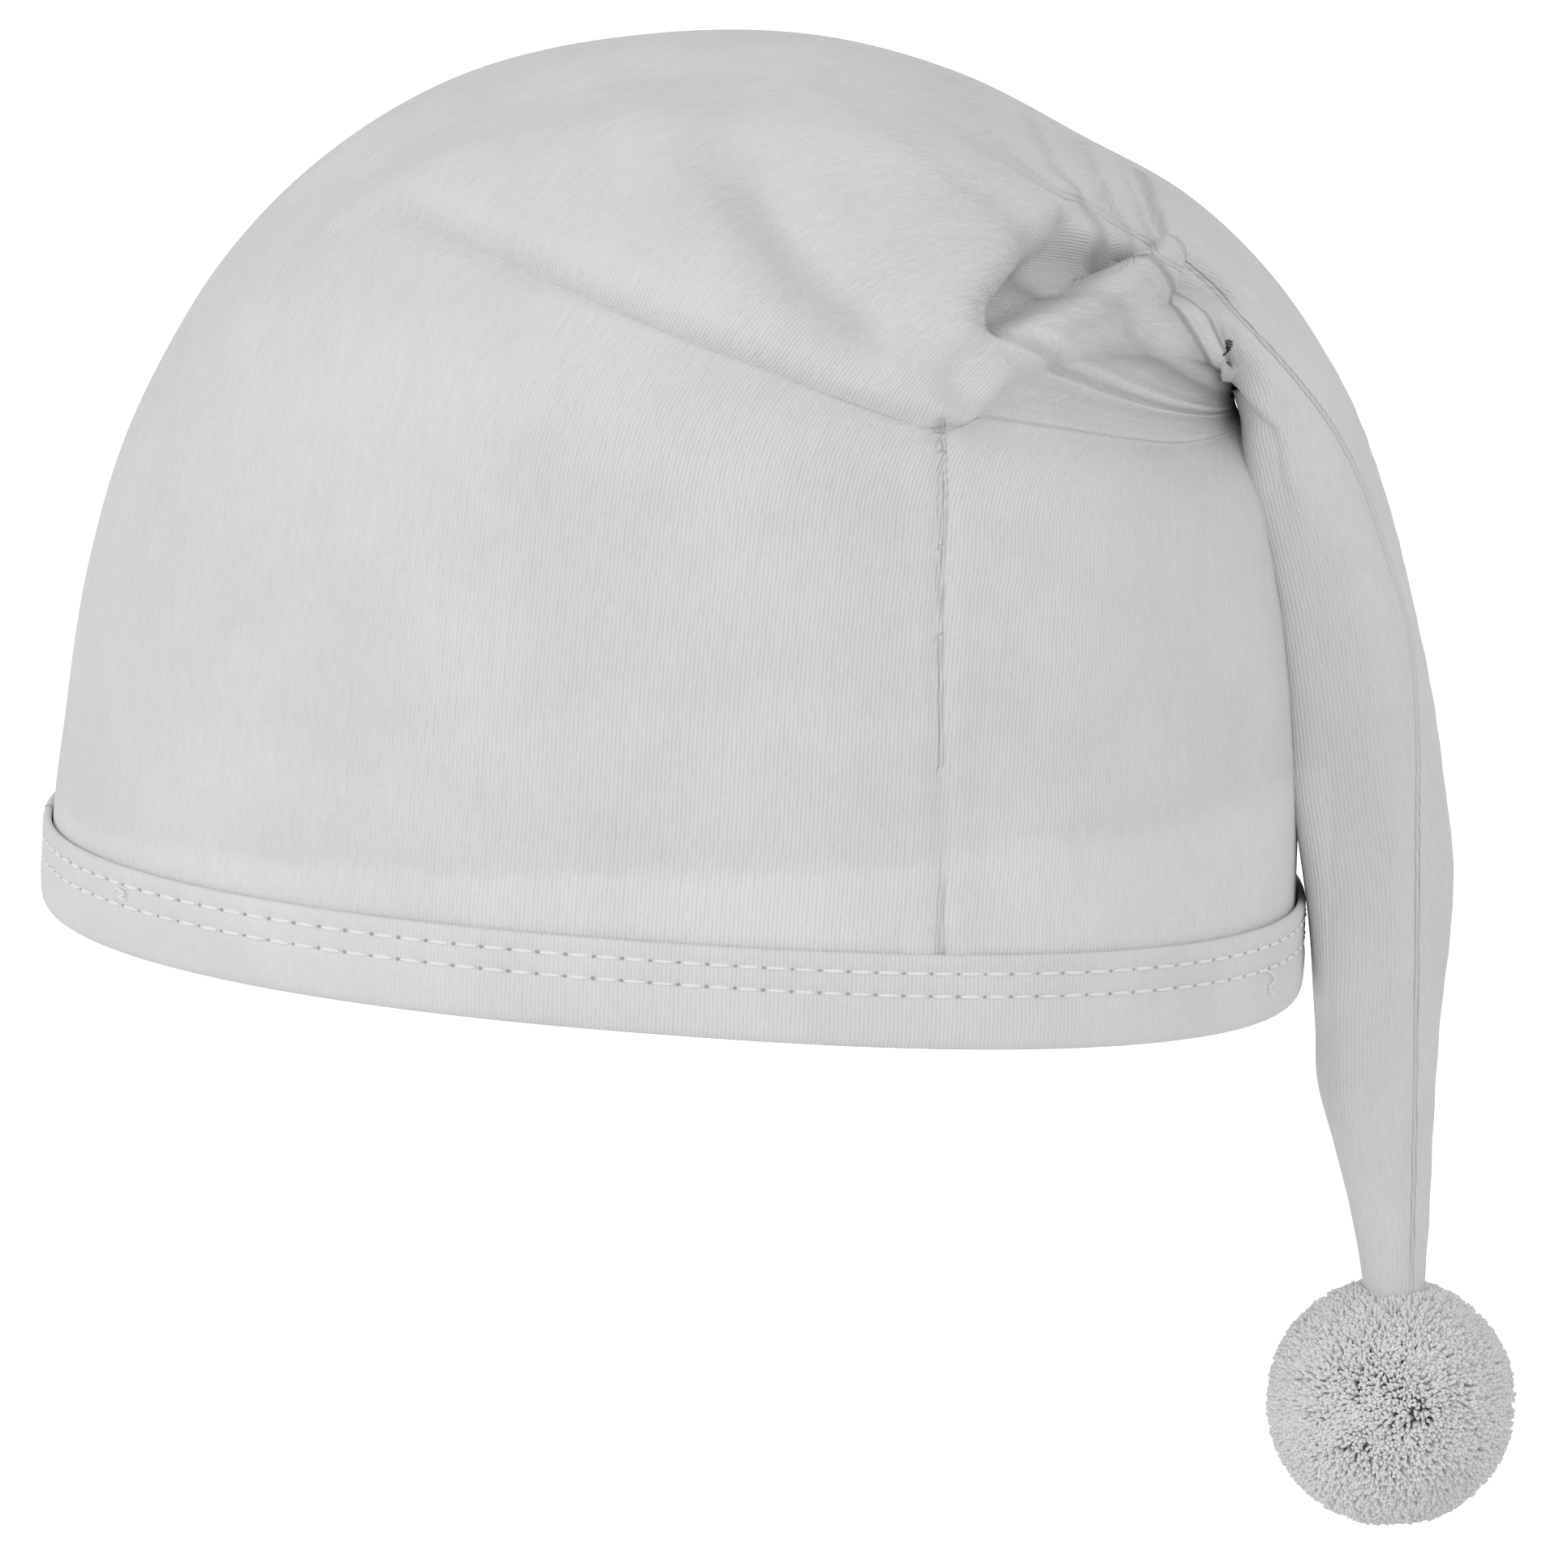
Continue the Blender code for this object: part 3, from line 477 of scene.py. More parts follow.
def fold_cloth(points):
    """The points with every layer, roll and fold of the tables worked into them."""
    normal = outward(points)
    x_share = points[..., 0] / half_length
    lift = np.zeros(points.shape[:-1])
    slide = np.zeros_like(points)
    for side, outline, level, rounding, tuck, sag, reach, x_in, x_full, x_fading, x_out in LAYERS:
        inside = inside_outline(points, outline)
        comes = smooth((x_share - x_in) / (x_full - x_in))
        goes = 1 - smooth((x_share - x_fading) / (x_out - x_fading))
        strength = on_side(points, side) * comes * goes
        edge = np.clip(inside / rounding, 0.0, 1.0)
        covered = np.sqrt(1 - (1 - edge) ** 2) if tuck else smooth(edge)
        height = layer_height * level * strength * (1 - sag * smooth(inside / reach))
        cover = covered * np.where(strength > 0, 1.0, 0.0) * smooth(4 * strength)
        lift = lift * (1 - cover) + height * cover
        push = -tuck * strength * np.exp(-(((inside - rounding / 3) / rounding) ** 2))
        slide += push[..., None] * uphill(points, inside)
    for side, line, level, fade_in, fade_out in ROLLS:
        distance, along = beside_line(points, line)
        strength = on_side(points, side) * smooth(along / fade_in) * smooth((1 - along) / fade_out)
        radius = roll_radius * np.sqrt(np.maximum(strength, 1e-6))
        round_top = np.sqrt(np.clip(1 - (distance / radius) ** 2, 0.0, 1.0))
        tube = radius * round_top + level * layer_height
        cover = smooth(2.5 * round_top) * smooth(3 * strength)
        lift = lift * (1 - cover) + tube * cover
    for side, line, height, width, fade_in, fade_out in RIDGES:
        distance, along = beside_line(points, line)
        strength = on_side(points, side) * smooth(along / fade_in) * smooth((1 - along) / fade_out)
        lift += strength * layer_height * height * np.exp(-((distance / width) ** 2))
    for _ in range(soften_passes):
        lift = even_out(lift)
        slide = even_out(slide)
    return points + lift[..., None] * normal + slide


def wrinkle_cloth(points):
    """The points with the wall's soft wrinkles and the relief of the seams. Also each point's
    distance from the nearest seam, negative below it, and how strongly the painted shade
    along that seam shows there."""
    normal = outward(points)
    lift = np.zeros(points.shape[:-1])
    for side, start, middle, end, height, width in WRINKLES:
        distance, along = beside_line(points, [start, middle, end])
        strength = on_side(points, side) * smooth(along / wrinkle_fade)
        strength *= smooth((1 - along) / wrinkle_fade)
        relief = height * millimetre * np.exp(-((distance / (width * millimetre)) ** 2))
        lift += wrinkle_strength * strength * relief
    seam_away = np.full(points.shape[:-1], 1.0)
    seam_shade_shows = np.zeros(points.shape[:-1])
    for side, line, near_ends, puckered in SEAMS:
        distance, along = beside_line(points, line)
        fade = smooth(along / near_ends) * smooth((1 - along) / near_ends)
        strength = fade * np.where(side * points[..., 1] > 0, 1.0, 0.0)
        away = np.abs(distance)
        path = curve_through(np.array(line) * side_view, 60)
        length = np.linalg.norm(np.diff(path, axis=0), axis=1).sum()
        place = along * length
        ripple = np.sin(2 * np.pi * place / seam_pucker_length + 1.7 * np.sin(place / 0.0093))
        pucker = ripple * np.exp(-((away / seam_pucker_reach) ** 1.5)) * np.sign(distance) ** 2
        relief = puckered * seam_pucker * pucker * smooth(away / seam_pucker_start)
        relief -= seam_groove * np.exp(-((away / seam_groove_reach) ** 2))
        past_shoulder = (away - seam_shoulder_away) / seam_shoulder_reach
        relief += seam_shoulder * np.exp(-(past_shoulder**2))
        lift += strength * relief
        nearer = away < np.abs(seam_away)
        seam_away = np.where(nearer, distance, seam_away)
        shade_here = strength * (away < 3 * seam_shade_reach)
        seam_shade_shows = np.where(nearer, shade_here, seam_shade_shows)
    return points + lift[..., None] * normal, seam_away, seam_shade_shows


def cloth_rings():
    """The sack's outer skin as rows of rings from the rim to the tip, with their turns."""
    rows = section_rows()
    middle = (rows[:, 0:2] + rows[:, 2:4]) / 2
    moved = np.linalg.norm(np.diff(middle, axis=0), axis=1)
    turned = np.linalg.norm(np.diff(rows[:, 0:2] - rows[:, 2:4], axis=0), axis=1) / 2
    knots = np.concatenate([[0.0], np.cumsum(moved + turned)])
    shares = [0.0]
    for section in range(len(rows) - 1):
        folded = first_fold_section <= section < first_tail_section
        count = fold_rows if folded else wall_rows if section < first_fold_section else tail_rows
        shares.extend(section + np.arange(1, count + 1) / count)
    places = np.interp(shares, np.arange(len(rows)), knots)
    near = np.linspace(0.0, 0.5, near_columns, endpoint=False)
    far = np.linspace(0.5, 1.0, far_columns, endpoint=False)
    turns = np.concatenate([near, far])
    return fold_cloth(section_points(hermite(knots, rows, places), turns))


def stand(name, data):
    """An object of that name, put in the scene where its data says."""
    made = bpy.data.objects.new(name, data)
    bpy.context.scene.collection.objects.link(made)
    return made


def mesh_object(name, points, faces, finish, values):
    """A smooth piece with its finish, and the values that the finish reads at each point."""
    mesh = bpy.data.meshes.new(name)
    mesh.from_pydata(np.asarray(points).tolist(), [], faces)
    mesh.materials.append(finish)
    for value_name, value in values.items():
        layer = mesh.attributes.new(value_name, "FLOAT", "POINT")
        layer.data.foreach_set("value", value.reshape(-1).astype(np.float32))
    mesh.shade_smooth()
    return stand(name, mesh)


def panel_object(name, skin, normal, values, finish):
    """A closed panel: a fine outer skin, a coarser inner one a cloth's thickness inside it, and
    an edge that joins them all round. values are what the finish reads at each point."""
    inner = (skin - cloth * normal)[::coarser, ::coarser]
    rows, across = skin.shape[:2]
    inner_rows, inner_across = inner.shape[:2]
    outer_at = np.arange(rows * across).reshape(rows, across)
    inner_at = rows * across + np.arange(inner_rows * inner_across).reshape(inner_rows, -1)
    faces = []
    for at, order in ((outer_at, 1), (inner_at, -1)):
        quads = np.stack([at[:-1, :-1], at[:-1, 1:], at[1:, 1:], at[1:, :-1]], axis=-1)
        faces += [tuple(quad[::order]) for quad in quads.reshape(-1, 4).tolist()]
    edges = (
        (outer_at[0, ::-1], inner_at[0, ::-1]),
        (outer_at[-1], inner_at[-1]),
        (outer_at[:, 0], inner_at[:, 0]),
        (outer_at[::-1, -1], inner_at[::-1, -1]),
    )
    for fine, rough in edges:
        for step in range(len(rough) - 1):
            part = fine[coarser * step : coarser * (step + 1) + 1].tolist()
            faces.append((*part, int(rough[step + 1]), int(rough[step])))
    points = np.vstack([skin.reshape(-1, 3), inner.reshape(-1, 3)])
    both = {
        value_name: np.concatenate([value.reshape(-1), value[::coarser, ::coarser].reshape(-1)])
        for value_name, value in values.items()
    }
    made = mesh_object(name, points, faces, finish, both)
    inner_normal = -normal[::coarser, ::coarser]
    shading = np.vstack([normal.reshape(-1, 3), inner_normal.reshape(-1, 3)])
    made.data.normals_split_custom_set_from_vertices(shading.tolist())
    return made


class Reading:
    """What a node gives out, for use in plain sums."""

    def __init__(self, network, socket):
        self.network = network
        self.socket = socket

    def sum_with(self, operation, first, second=0.0):
        return self.network.node("ShaderNodeMath", {"operation": operation}, {0: first, 1: second})

    def __add__(self, other):
        return self.sum_with("ADD", self, other)

    def __radd__(self, other):
        return self.sum_with("ADD", other, self)

    def __sub__(self, other):
        return self.sum_with("SUBTRACT", self, other)

    def __rsub__(self, other):
        return self.sum_with("SUBTRACT", other, self)

    def __mul__(self, other):
        return self.sum_with("MULTIPLY", self, other)

    def __rmul__(self, other):
        return self.sum_with("MULTIPLY", other, self)

    def __truediv__(self, other):
        return self.sum_with("DIVIDE", self, other)

    def sine(self):
        return self.sum_with("SINE", self)

    def size(self):
        return self.sum_with("ABSOLUTE", self)

    def beside(self, output):
        """Another output of the same node."""
        return Reading(self.network, self.socket.node.outputs[output])


class Network:
    """A tree of nodes being put together."""

    def __init__(self, tree):
        self.tree = tree

    def node(self, kind, settings, inputs, output=0):
        """Adds a node: its settings first, then the values or links of its sockets."""
        made = self.tree.nodes.new(kind)
        for name, value in settings.items():
            setattr(made, name, value)
        for name, value in inputs.items():
            if isinstance(value, Reading):
                self.tree.links.new(value.socket, made.inputs[name])
            else:
                made.inputs[name].default_value = value
        return Reading(self, made.outputs[output])


class Recipe(Network):
    """A finish being put together: its constants, and nodes on top."""

    def __init__(self, name, colour, roughness, constants):
        self.finish = bpy.data.materials.new(name)
        self.finish.use_nodes = True
        super().__init__(self.finish.node_tree)
        self.surface = self.tree.nodes["Principled BSDF"]
        self.surface.inputs["Base Color"].default_value = (*colour, 1.0)
        self.surface.inputs["Roughness"].default_value = roughness
        for socket, value in constants.items():
            self.surface.inputs[socket].default_value = value

    def attribute(self, name):
        """What the mesh holds at each point under that name."""
        return self.node("ShaderNodeAttribute", {"attribute_name": name}, {}, output=2)

    def noise(self, place, scale, detail, roughness=0.5):
        inputs = {"Vector": place, "Scale": scale, "Detail": detail, "Roughness": roughness}
        return self.node("ShaderNodeTexNoise", {}, inputs)

    def mottling(self, scale, detail, roughness=0.5):
        """Soft patches through the piece."""
        place = self.node("ShaderNodeTexCoord", {}, {}, output=3)
        return self.noise(place, scale, detail, roughness)

    def between(self, value, low, high, to_low=0.0, to_high=1.0):
        """value mapped softly from low..high to to_low..to_high, and held there beyond."""
        inputs = {"Value": value, 1: low, 2: high, 3: to_low, 4: to_high}
        return self.node("ShaderNodeMapRange", {"interpolation_type": "SMOOTHSTEP"}, inputs)

    def shade(self, share, dark, light):
        """Makes the base colour a grey between dark and light, by share."""
        greys = {0: share, 6: (*dark, 1.0), 7: (*light, 1.0)}
        self.feed("Base Color", self.node("ShaderNodeMix", {"data_type": "RGBA"}, greys, output=2))

    def emboss(self, height, strength, distance):
        inputs = {"Height": height, "Strength": strength, "Distance": distance}
        self.feed("Normal", self.node("ShaderNodeBump", {}, inputs))

    def feed(self, socket, value):
        self.tree.links.new(value.socket, self.surface.inputs[socket])


wale = 0.00066
course = 0.00052
drift_scale = 180.0
streak_scale = 330.0
streak_stretch = 5.0
fuzz_scale = 1500.0
jersey_constants = {"Sheen Weight": 0.12, "Sheen Roughness": 0.6, "Specular IOR Level": 0.2}


def knit_height(recipe):
    """The height of fine jersey: soft ribs along the cloth, broken up by loops and loose hairs."""
    across, along = recipe.attribute("across"), recipe.attribute("along")
    place = recipe.node("ShaderNodeCombineXYZ", {}, {0: across, 1: along, 2: 0.0})
    drift = recipe.noise(place, drift_scale, 2.0)
    ribs = ((across / wale + 0.55 * drift) * (2 * math.pi)).sine()
    loops = ((along / course + 0.5 * drift) * (2 * math.pi)).sine()
    stretched = {0: across * streak_stretch, 1: along, 2: 0.0}
    long_place = recipe.node("ShaderNodeCombineXYZ", {}, stretched)
    streaks = recipe.noise(long_place, streak_scale, 3.0)
    fuzz = recipe.noise(place, fuzz_scale, 2.0)
    return 0.30 * ribs + 0.04 * loops + 0.9 * streaks + 0.35 * fuzz


jersey = Recipe("jersey", (0.80, 0.80, 0.80), 0.92, jersey_constants)
# Along each seam a thin line is painted darker, as painted shade in the seam's groove; the same line
# also sinks a groove into the bump.
seam_shade_and_groove = jersey.between(jersey.attribute("seam_away").size(), 0.00012, 0.00052, 1.0, 0.0)
seam_shade_and_groove = seam_shade_and_groove * jersey.attribute("seam_shade_shows")
mottle = jersey.mottling(38.0, 3.0, 0.6)
knit = knit_height(jersey)
tone = jersey.between(mottle, 0.3, 0.7, 0.0, 0.35) + 0.16 * knit - 0.9 * seam_shade_and_groove
tone = tone + 0.34 * jersey.attribute("backed")
jersey.shade(tone, (0.735, 0.735, 0.737), (0.88, 0.88, 0.88))
jersey.emboss(knit - 2.6 * seam_shade_and_groove, 0.8, 0.00022)

rings = cloth_rings()
rings, seam_away, seam_shade_shows = wrinkle_cloth(rings)
ring_normals = outward(rings)
near_part = np.arange(near_columns + 1)
far_part = np.concatenate([np.arange(near_columns, near_columns + far_columns), [0]])
backed_x, backed_z = (np.array(BACKED_LINE) * side_view).T
backed_edge = np.interp(rings[..., 0], backed_x, backed_z) - rings[..., 2]
backed = smooth(backed_edge / backed_blend) * np.where(rings[..., 0] > backed_back_end, 0.0, 1.0)
row_middle = rings[:, near_columns // 2]
along_rows = np.concatenate([[0], np.cumsum(np.linalg.norm(np.diff(row_middle, axis=0), axis=1))])
for panel_name, part in (("near_panel", near_part), ("far_panel", far_part)):
    skin = rings[:, part]
    steps = np.linalg.norm(np.diff(skin, axis=1), axis=2)
    round_skin = np.concatenate([np.zeros((len(skin), 1)), np.cumsum(steps, axis=1)], axis=1)
    round_skin -= round_skin[:, [len(part) // 2]]
    readings = {
        "across": round_skin,
        "along": np.repeat(along_rows[:, None], len(part), axis=1),
        "seam_away": seam_away[:, part],
        "seam_shade_shows": seam_shade_shows[:, part],
        "backed": backed[:, part],
    }
    panel = panel_object(panel_name, skin, ring_normals[:, part], readings, jersey.finish)
    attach(panel, "root")
    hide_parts("cap")

# The hem band. A doubled strip of the same jersey wraps the sack's lower edge and stands proud of
# it, with a soft ridge on top and a rounded fold below. Two needle rows pull it in all round.
band_columns = 780
stitch_pitch = 0.0044
BAND_PROFILE = [
    # out from the wall's outer face and up from its lower edge, in millimetres
    (0.30, 11.8), (0.38, 12.7), (0.72, 13.10), (1.20, 13.05), (1.55, 12.60), (1.70, 11.9),
    (1.66, 11.1), (1.55, 10.2), (1.66, 9.4), (1.72, 8.4), (1.66, 7.4), (1.56, 6.6), (1.68, 5.8),
    (1.80, 4.6), (1.86, 3.0), (1.84, 1.4), (1.74, 0.0), (1.45, -1.1), (0.80, -1.85),
    (-0.60, -2.10), (-2.10, -1.75), (-2.75, -0.8), (-2.85, 1.0), (-2.60, 6.0), (-2.75, 10.0),
    (-2.30, 11.1), (-1.75, 11.0), (-1.68, 9.0), (-1.68, 1.0), (-1.30, -0.25), (-0.60, -0.30),
    (0.10, -0.25), (0.38, 0.8), (0.35, 6.0),
]
band_outer_face = slice(5, 17)
needle_rows = (10.2, 6.6)

# Heights on the band and what moves its outer face there, in millimetres: the rows pull it in,
# and small swells run between and below them.
row_reach = 0.75
row_dip = 0.03
stitch_dip = 0.16
tunnel_height = 8.4
tunnel_reach = 1.3
drag_height = 4.2
drag_reach = 3.0
swell = 0.05
sway_height = 0.10
ridge_start = 11.0

rim_rows = section_rows()[:2]
band_turns = np.arange(band_columns) / band_columns
wall_edge, wall_up = section_points(rim_rows, band_turns)
band_out = np.stack(
    [wall_edge[:, 0] / half_length**2, wall_edge[:, 1] / half_width**2, 0 * wall_edge[:, 2]], axis=-1
)
band_out /= np.linalg.norm(band_out, axis=1, keepdims=True)
band_rise = (wall_up - wall_edge) / (hem_height - hem_turn)
profile = np.array(BAND_PROFILE)
closed_profile = np.vstack([profile[-2:], profile, profile[:2]])
profile_knots = np.concatenate(
    [[0], np.cumsum(np.linalg.norm(np.diff(closed_profile, axis=0), axis=1) ** 0.5)]
)
profile_places = np.linspace(profile_knots[2], profile_knots[-2], 76)[:-1]
profile = hermite(profile_knots, closed_profile, profile_places)
ring_step = np.linalg.norm(np.roll(wall_edge, -1, axis=0) - wall_edge, axis=1)
ring_place = np.concatenate([[0.0], np.cumsum(ring_step)])[:-1]
ring_length = ring_step.sum()
stitch_count = round(ring_length / stitch_pitch)
stitch_phase = 2 * np.pi * ring_place / ring_length * stitch_count
band_rings = []
for out, up in profile:
    outside = smooth((out - 0.8) / 0.8)
    dip = 0.0
    for row, phase in zip(needle_rows, (0.0, 1.3), strict=True):
        near_row = math.exp(-(((up - row) / row_reach) ** 2))
        at_needle = (0.5 + 0.5 * np.cos(stitch_phase + phase)) ** 3
        dip = dip + near_row * (row_dip + stitch_dip * at_needle)
    in_tunnel = math.exp(-(((up - tunnel_height) / tunnel_reach) ** 2))
    tunnel = in_tunnel * swell * np.sin(stitch_phase * 0.5 + up)
    dragged = math.exp(-(((up - drag_height) / drag_reach) ** 2))
    drag = swell * np.sin(stitch_phase / 3.1 + 1.1 * up) * dragged
    wander = 2.0 * np.sin(ring_place / 0.027)
    sway = sway_height * np.sin(2 * np.pi * ring_place / 0.041 + wander)
    moved = out + outside * (tunnel + drag - dip)
    raised = up + sway * outside * smooth((up - ridge_start) / 1.5)
    band_rings.append(
        wall_edge + millimetre * (moved[:, None] * band_out + raised[:, None] * band_rise)
    )
band_rings = np.array(band_rings)
profile_step = np.linalg.norm(np.diff(profile, axis=0, append=profile[:1]), axis=1)
profile_along = millimetre * np.concatenate([[0.0], np.cumsum(profile_step)])[:-1]


# The band's copy of the sack's jersey is given greys whose light end stops below the sack's: painted
# shade over the whole band.
hem_jersey = Recipe("hem_jersey", (0.84, 0.84, 0.84), 0.92, jersey_constants)
band_knit = knit_height(hem_jersey)
band_tone = hem_jersey.between(hem_jersey.mottling(55.0, 3.0), 0.3, 0.7, 0.2, 0.7)
hem_jersey.shade(band_tone + 0.14 * band_knit, (0.74, 0.74, 0.74), (0.83, 0.83, 0.83))
hem_jersey.emboss(band_knit, 0.75, 0.0002)
band_at = np.arange(band_rings[..., 0].size).reshape(band_rings.shape[:2])
band_above = np.roll(band_at, -1, axis=0)
band_corners = [band_at, np.roll(band_at, -1, axis=1), np.roll(band_above, -1, axis=1), band_above]
band_faces = np.stack(band_corners, axis=-1).reshape(-1, 4).tolist()
band_values = {
    "across": np.repeat(ring_place[None, :], len(profile), axis=0),
    "along": np.repeat(profile_along[:, None], band_columns, axis=1),
}
band_points = band_rings.reshape(-1, 3)
band = mesh_object("hem_band_cloth", band_points, band_faces, hem_jersey.finish, band_values)
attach(band, "root")
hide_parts("hem_band")

# The twin needle rows. Soft white sewing thread, laid in even stitches that sink at both ends
# where the needle went through. Each row runs once round the band.
thread_radius = 0.00030
stitch_length = 0.0034
needle_hole_radius = 0.00029
thread_end_radius = 0.00016


def band_face(height, lifted):
    """Points round the band's outer face at a height in millimetres, lifted off the cloth."""
    out, up = np.array(BAND_PROFILE)[band_outer_face].T
    stands_off = np.interp(-height, -up, out) + lifted
    return wall_edge + millimetre * (stands_off * band_out + height * band_rise)


def band_line(height, lifted, count, ahead):
    """Evenly spaced points of such a line, from a place that far ahead along it."""
    points = band_face(height, lifted)
    places = (np.linspace(0.0, ring_length, count, endpoint=False) + ahead) % ring_length
    closed = np.vstack([points, points[:1]])
    at = np.append(ring_place, ring_length)
    return np.stack([np.interp(places, at, closed[:, axis]) for axis in range(3)], axis=-1)


def growing_tree(name, numbers):
    """A tree that takes a mesh, the named numbers and a finish, and what it is given of each."""
    tree = bpy.data.node_groups.new(name, "GeometryNodeTree")
    sockets = {"Geometry": "Geometry", **dict.fromkeys(numbers, "Float"), "Finish": "Material"}
    for socket_name, kind in sockets.items():
        tree.interface.new_socket(socket_name, in_out="INPUT", socket_type="NodeSocket" + kind)
    tree.interface.new_socket("Geometry", in_out="OUTPUT", socket_type="NodeSocketGeometry")
    network = Network(tree)
    outputs = tree.nodes.new("NodeGroupInput").outputs
    return network, {name: Reading(network, outputs[name]) for name in sockets}


def stood_on_points(network, given, points, shape, turn, size, vary):
    """Ends a tree: the shape on each point, turned and sized, all as one mesh with its finish."""
    scale = network.node("ShaderNodeVectorMath", {"operation": "MULTIPLY"}, {0: size, 1: vary})
    how = {"Points": points, "Instance": shape, "Rotation": turn, "Scale": scale}
    stood = network.node("GeometryNodeInstanceOnPoints", {}, how)
    real = network.node("GeometryNodeRealizeInstances", {}, {0: stood})
    shaded = network.node("GeometryNodeSetShadeSmooth", {}, {0: real})
    inputs = {"Geometry": shaded, "Material": given["Finish"]}
    worn = network.node("GeometryNodeSetMaterial", {}, inputs)
    out = network.tree.nodes.new("NodeGroupOutput")
    network.tree.links.new(worn.socket, out.inputs["Geometry"])
    return network.tree


def vector_between(network, low, high, seed):
    """A random vector for each point."""
    settings, inputs = {"data_type": "FLOAT_VECTOR"}, {0: low, 1: high, "Seed": seed}
    return network.node("FunctionNodeRandomValue", settings, inputs)


def facing(network, way):
    """A turn that points upright shapes that way."""
    return network.node("FunctionNodeAlignRotationToVector", {"axis": "Z"}, {"Vector": way})


def stitches_along(tree_name):
    """A tree that lays one stitch at each step along the lines it is given."""
    network, given = growing_tree(tree_name, ("Pitch", "Length", "Radius"))
    curve = network.node("GeometryNodeMeshToCurve", {}, {0: given["Geometry"]})
    inputs = {"Curve": curve, "Length": given["Pitch"]}
    steps = network.node("GeometryNodeResampleCurve", {"mode": "LENGTH"}, inputs)
    ball = {"Segments": 8, "Rings": 6, "Radius": 1.0}
    stitch = network.node("GeometryNodeMeshUVSphere", {}, ball)
    radius, half = given["Radius"], given["Length"] * 0.5
    size = network.node("ShaderNodeCombineXYZ", {}, {0: radius, 1: radius, 2: half})
    turn = facing(network, network.node("GeometryNodeInputTangent", {}, {}))
    vary = vector_between(network, (0.85, 0.85, 0.9), (1.15, 1.15, 1.04), 4)
    return stood_on_points(network, given, steps, stitch, turn, size, vary)


def grown(name, mesh, tree, settings):
    """The plain mesh that a tree makes from mesh, with its named inputs set."""
    source = stand(name + "_source", mesh)
    modifier = source.modifiers.new("grow", "NODES")
    modifier.node_group = tree
    for item in tree.interface.items_tree:
        if item.item_type == "SOCKET" and item.in_out == "INPUT" and item.name in settings:
            modifier[item.identifier] = settings[item.name]
    result = source.evaluated_get(bpy.context.evaluated_depsgraph_get())
    plain = bpy.data.meshes.new_from_object(result)
    source.modifiers.remove(modifier)
    bpy.data.objects.remove(source, do_unlink=True)
    plain.name = name
    return stand(name, plain)


thread = Recipe("thread", (0.90, 0.90, 0.90), 0.8, {"Sheen Weight": 0.1})
# The needle holes are small dark grey discs sunk a little into the band's face: painted shade in the
# holes.
needle_hole = Recipe("needle_hole", (0.42, 0.42, 0.42), 1.0, {})
stitch_tree = stitches_along("stitch_rows")


def needle_lines(name, lifted, ahead):
    """Both needle rows as closed lines, which start a little way along the band."""
    points, edges = [], []
    for row in needle_rows:
        line = band_line(row, lifted, 900, ahead)
        first = len(points)
        points += line.tolist()
        edges += [(first + k, first + (k + 1) % len(line)) for k in range(len(line))]
    mesh = bpy.data.meshes.new(name)
    mesh.from_pydata(points, edges, [])
    return mesh


stitch_settings = {
    "Pitch": stitch_pitch,
    "Length": stitch_length,
    "Radius": thread_radius,
    "Finish": thread.finish,
}
stitches = grown("hem_stitches", needle_lines("stitches", 0.02, 0.0), stitch_tree, stitch_settings)
hole_shade_settings = {
    "Pitch": stitch_pitch,
    "Length": 2.6 * needle_hole_radius,
    "Radius": needle_hole_radius,
    "Finish": needle_hole.finish,
}
# Dark discs of painted shade, one in each needle hole between the stitches.
hole_lines = needle_lines("needle_holes", -0.16, stitch_pitch / 2)
needle_hole_shades = grown("hem_needle_hole_shades", hole_lines, stitch_tree, hole_shade_settings)
for piece in (stitches, needle_hole_shades):
    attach(piece, "root")

# Thread ends. The upper row starts and ends on a small knot of back stitches, and a short end of
# thread hangs out of the band near the back.
thread_ends = [
    # x and z of the places it passes in the side view, in millimetres, and how far it stands off
    [(91.0, 6.7, 0.0), (92.2, 6.0, 0.6), (92.6, 4.8, 0.5), (91.8, 3.6, 0.3), (92.5, 2.6, 0.6)],
    [(-85.3, 8.9, 0.2), (-84.5, 9.6, 0.9), (-83.5, 9.0, 0.8), (-84.2, 8.2, 0.9), (-83.2, 8.0, 0.3)],
]


def on_band(x, height, lifted):
    """The place on the near side of the band's outer face at x and a height, in millimetres."""
    near = wall_edge[:, 1] < 0
    here = np.argmin(np.where(near, np.abs(wall_edge[:, 0] - millimetre * x), 1.0))
    return band_face(height, lifted)[here]


def tube_object(name, paths, radius, sides, finish):
    """Thin closed tubes along paths, rounded off at both ends."""
    points, faces = [], []
    angle = 2 * np.pi * np.arange(sides) / sides
    for path in paths:
        middle = curve_through(np.array(path), 8 * len(path))
        ahead = np.gradient(middle, axis=0)
        ahead /= np.linalg.norm(ahead, axis=1, keepdims=True)
        first = np.cross(ahead, np.array([0.31, 0.22, 0.92]))
        first /= np.linalg.norm(first, axis=1, keepdims=True)
        second = np.cross(ahead, first)
        share = np.linspace(0, 1, len(middle))
        thick = radius * np.clip(np.sqrt(np.minimum(share, 1 - share) / 0.03 + 0.05), 0, 1)
        ring = np.cos(angle)[:, None] * first[:, None] + np.sin(angle)[:, None] * second[:, None]
        rings = middle[:, None] + thick[:, None, None] * ring
        at = len(points) + np.arange(len(middle) * sides).reshape(len(middle), sides)
        points += rings.reshape(-1, 3).tolist()
        after = np.roll(at, -1, axis=1)
        faces += np.stack([at[:-1], after[:-1], after[1:], at[1:]], axis=-1).reshape(-1, 4).tolist()
        faces += [at[0, ::-1].tolist(), at[-1].tolist()]
    return mesh_object(name, points, faces, finish, {})


end_paths = [[on_band(*place) for place in path] for path in thread_ends]
ends = tube_object("thread_ends", end_paths, thread_end_radius, 8, thread.finish)
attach(ends, "root")

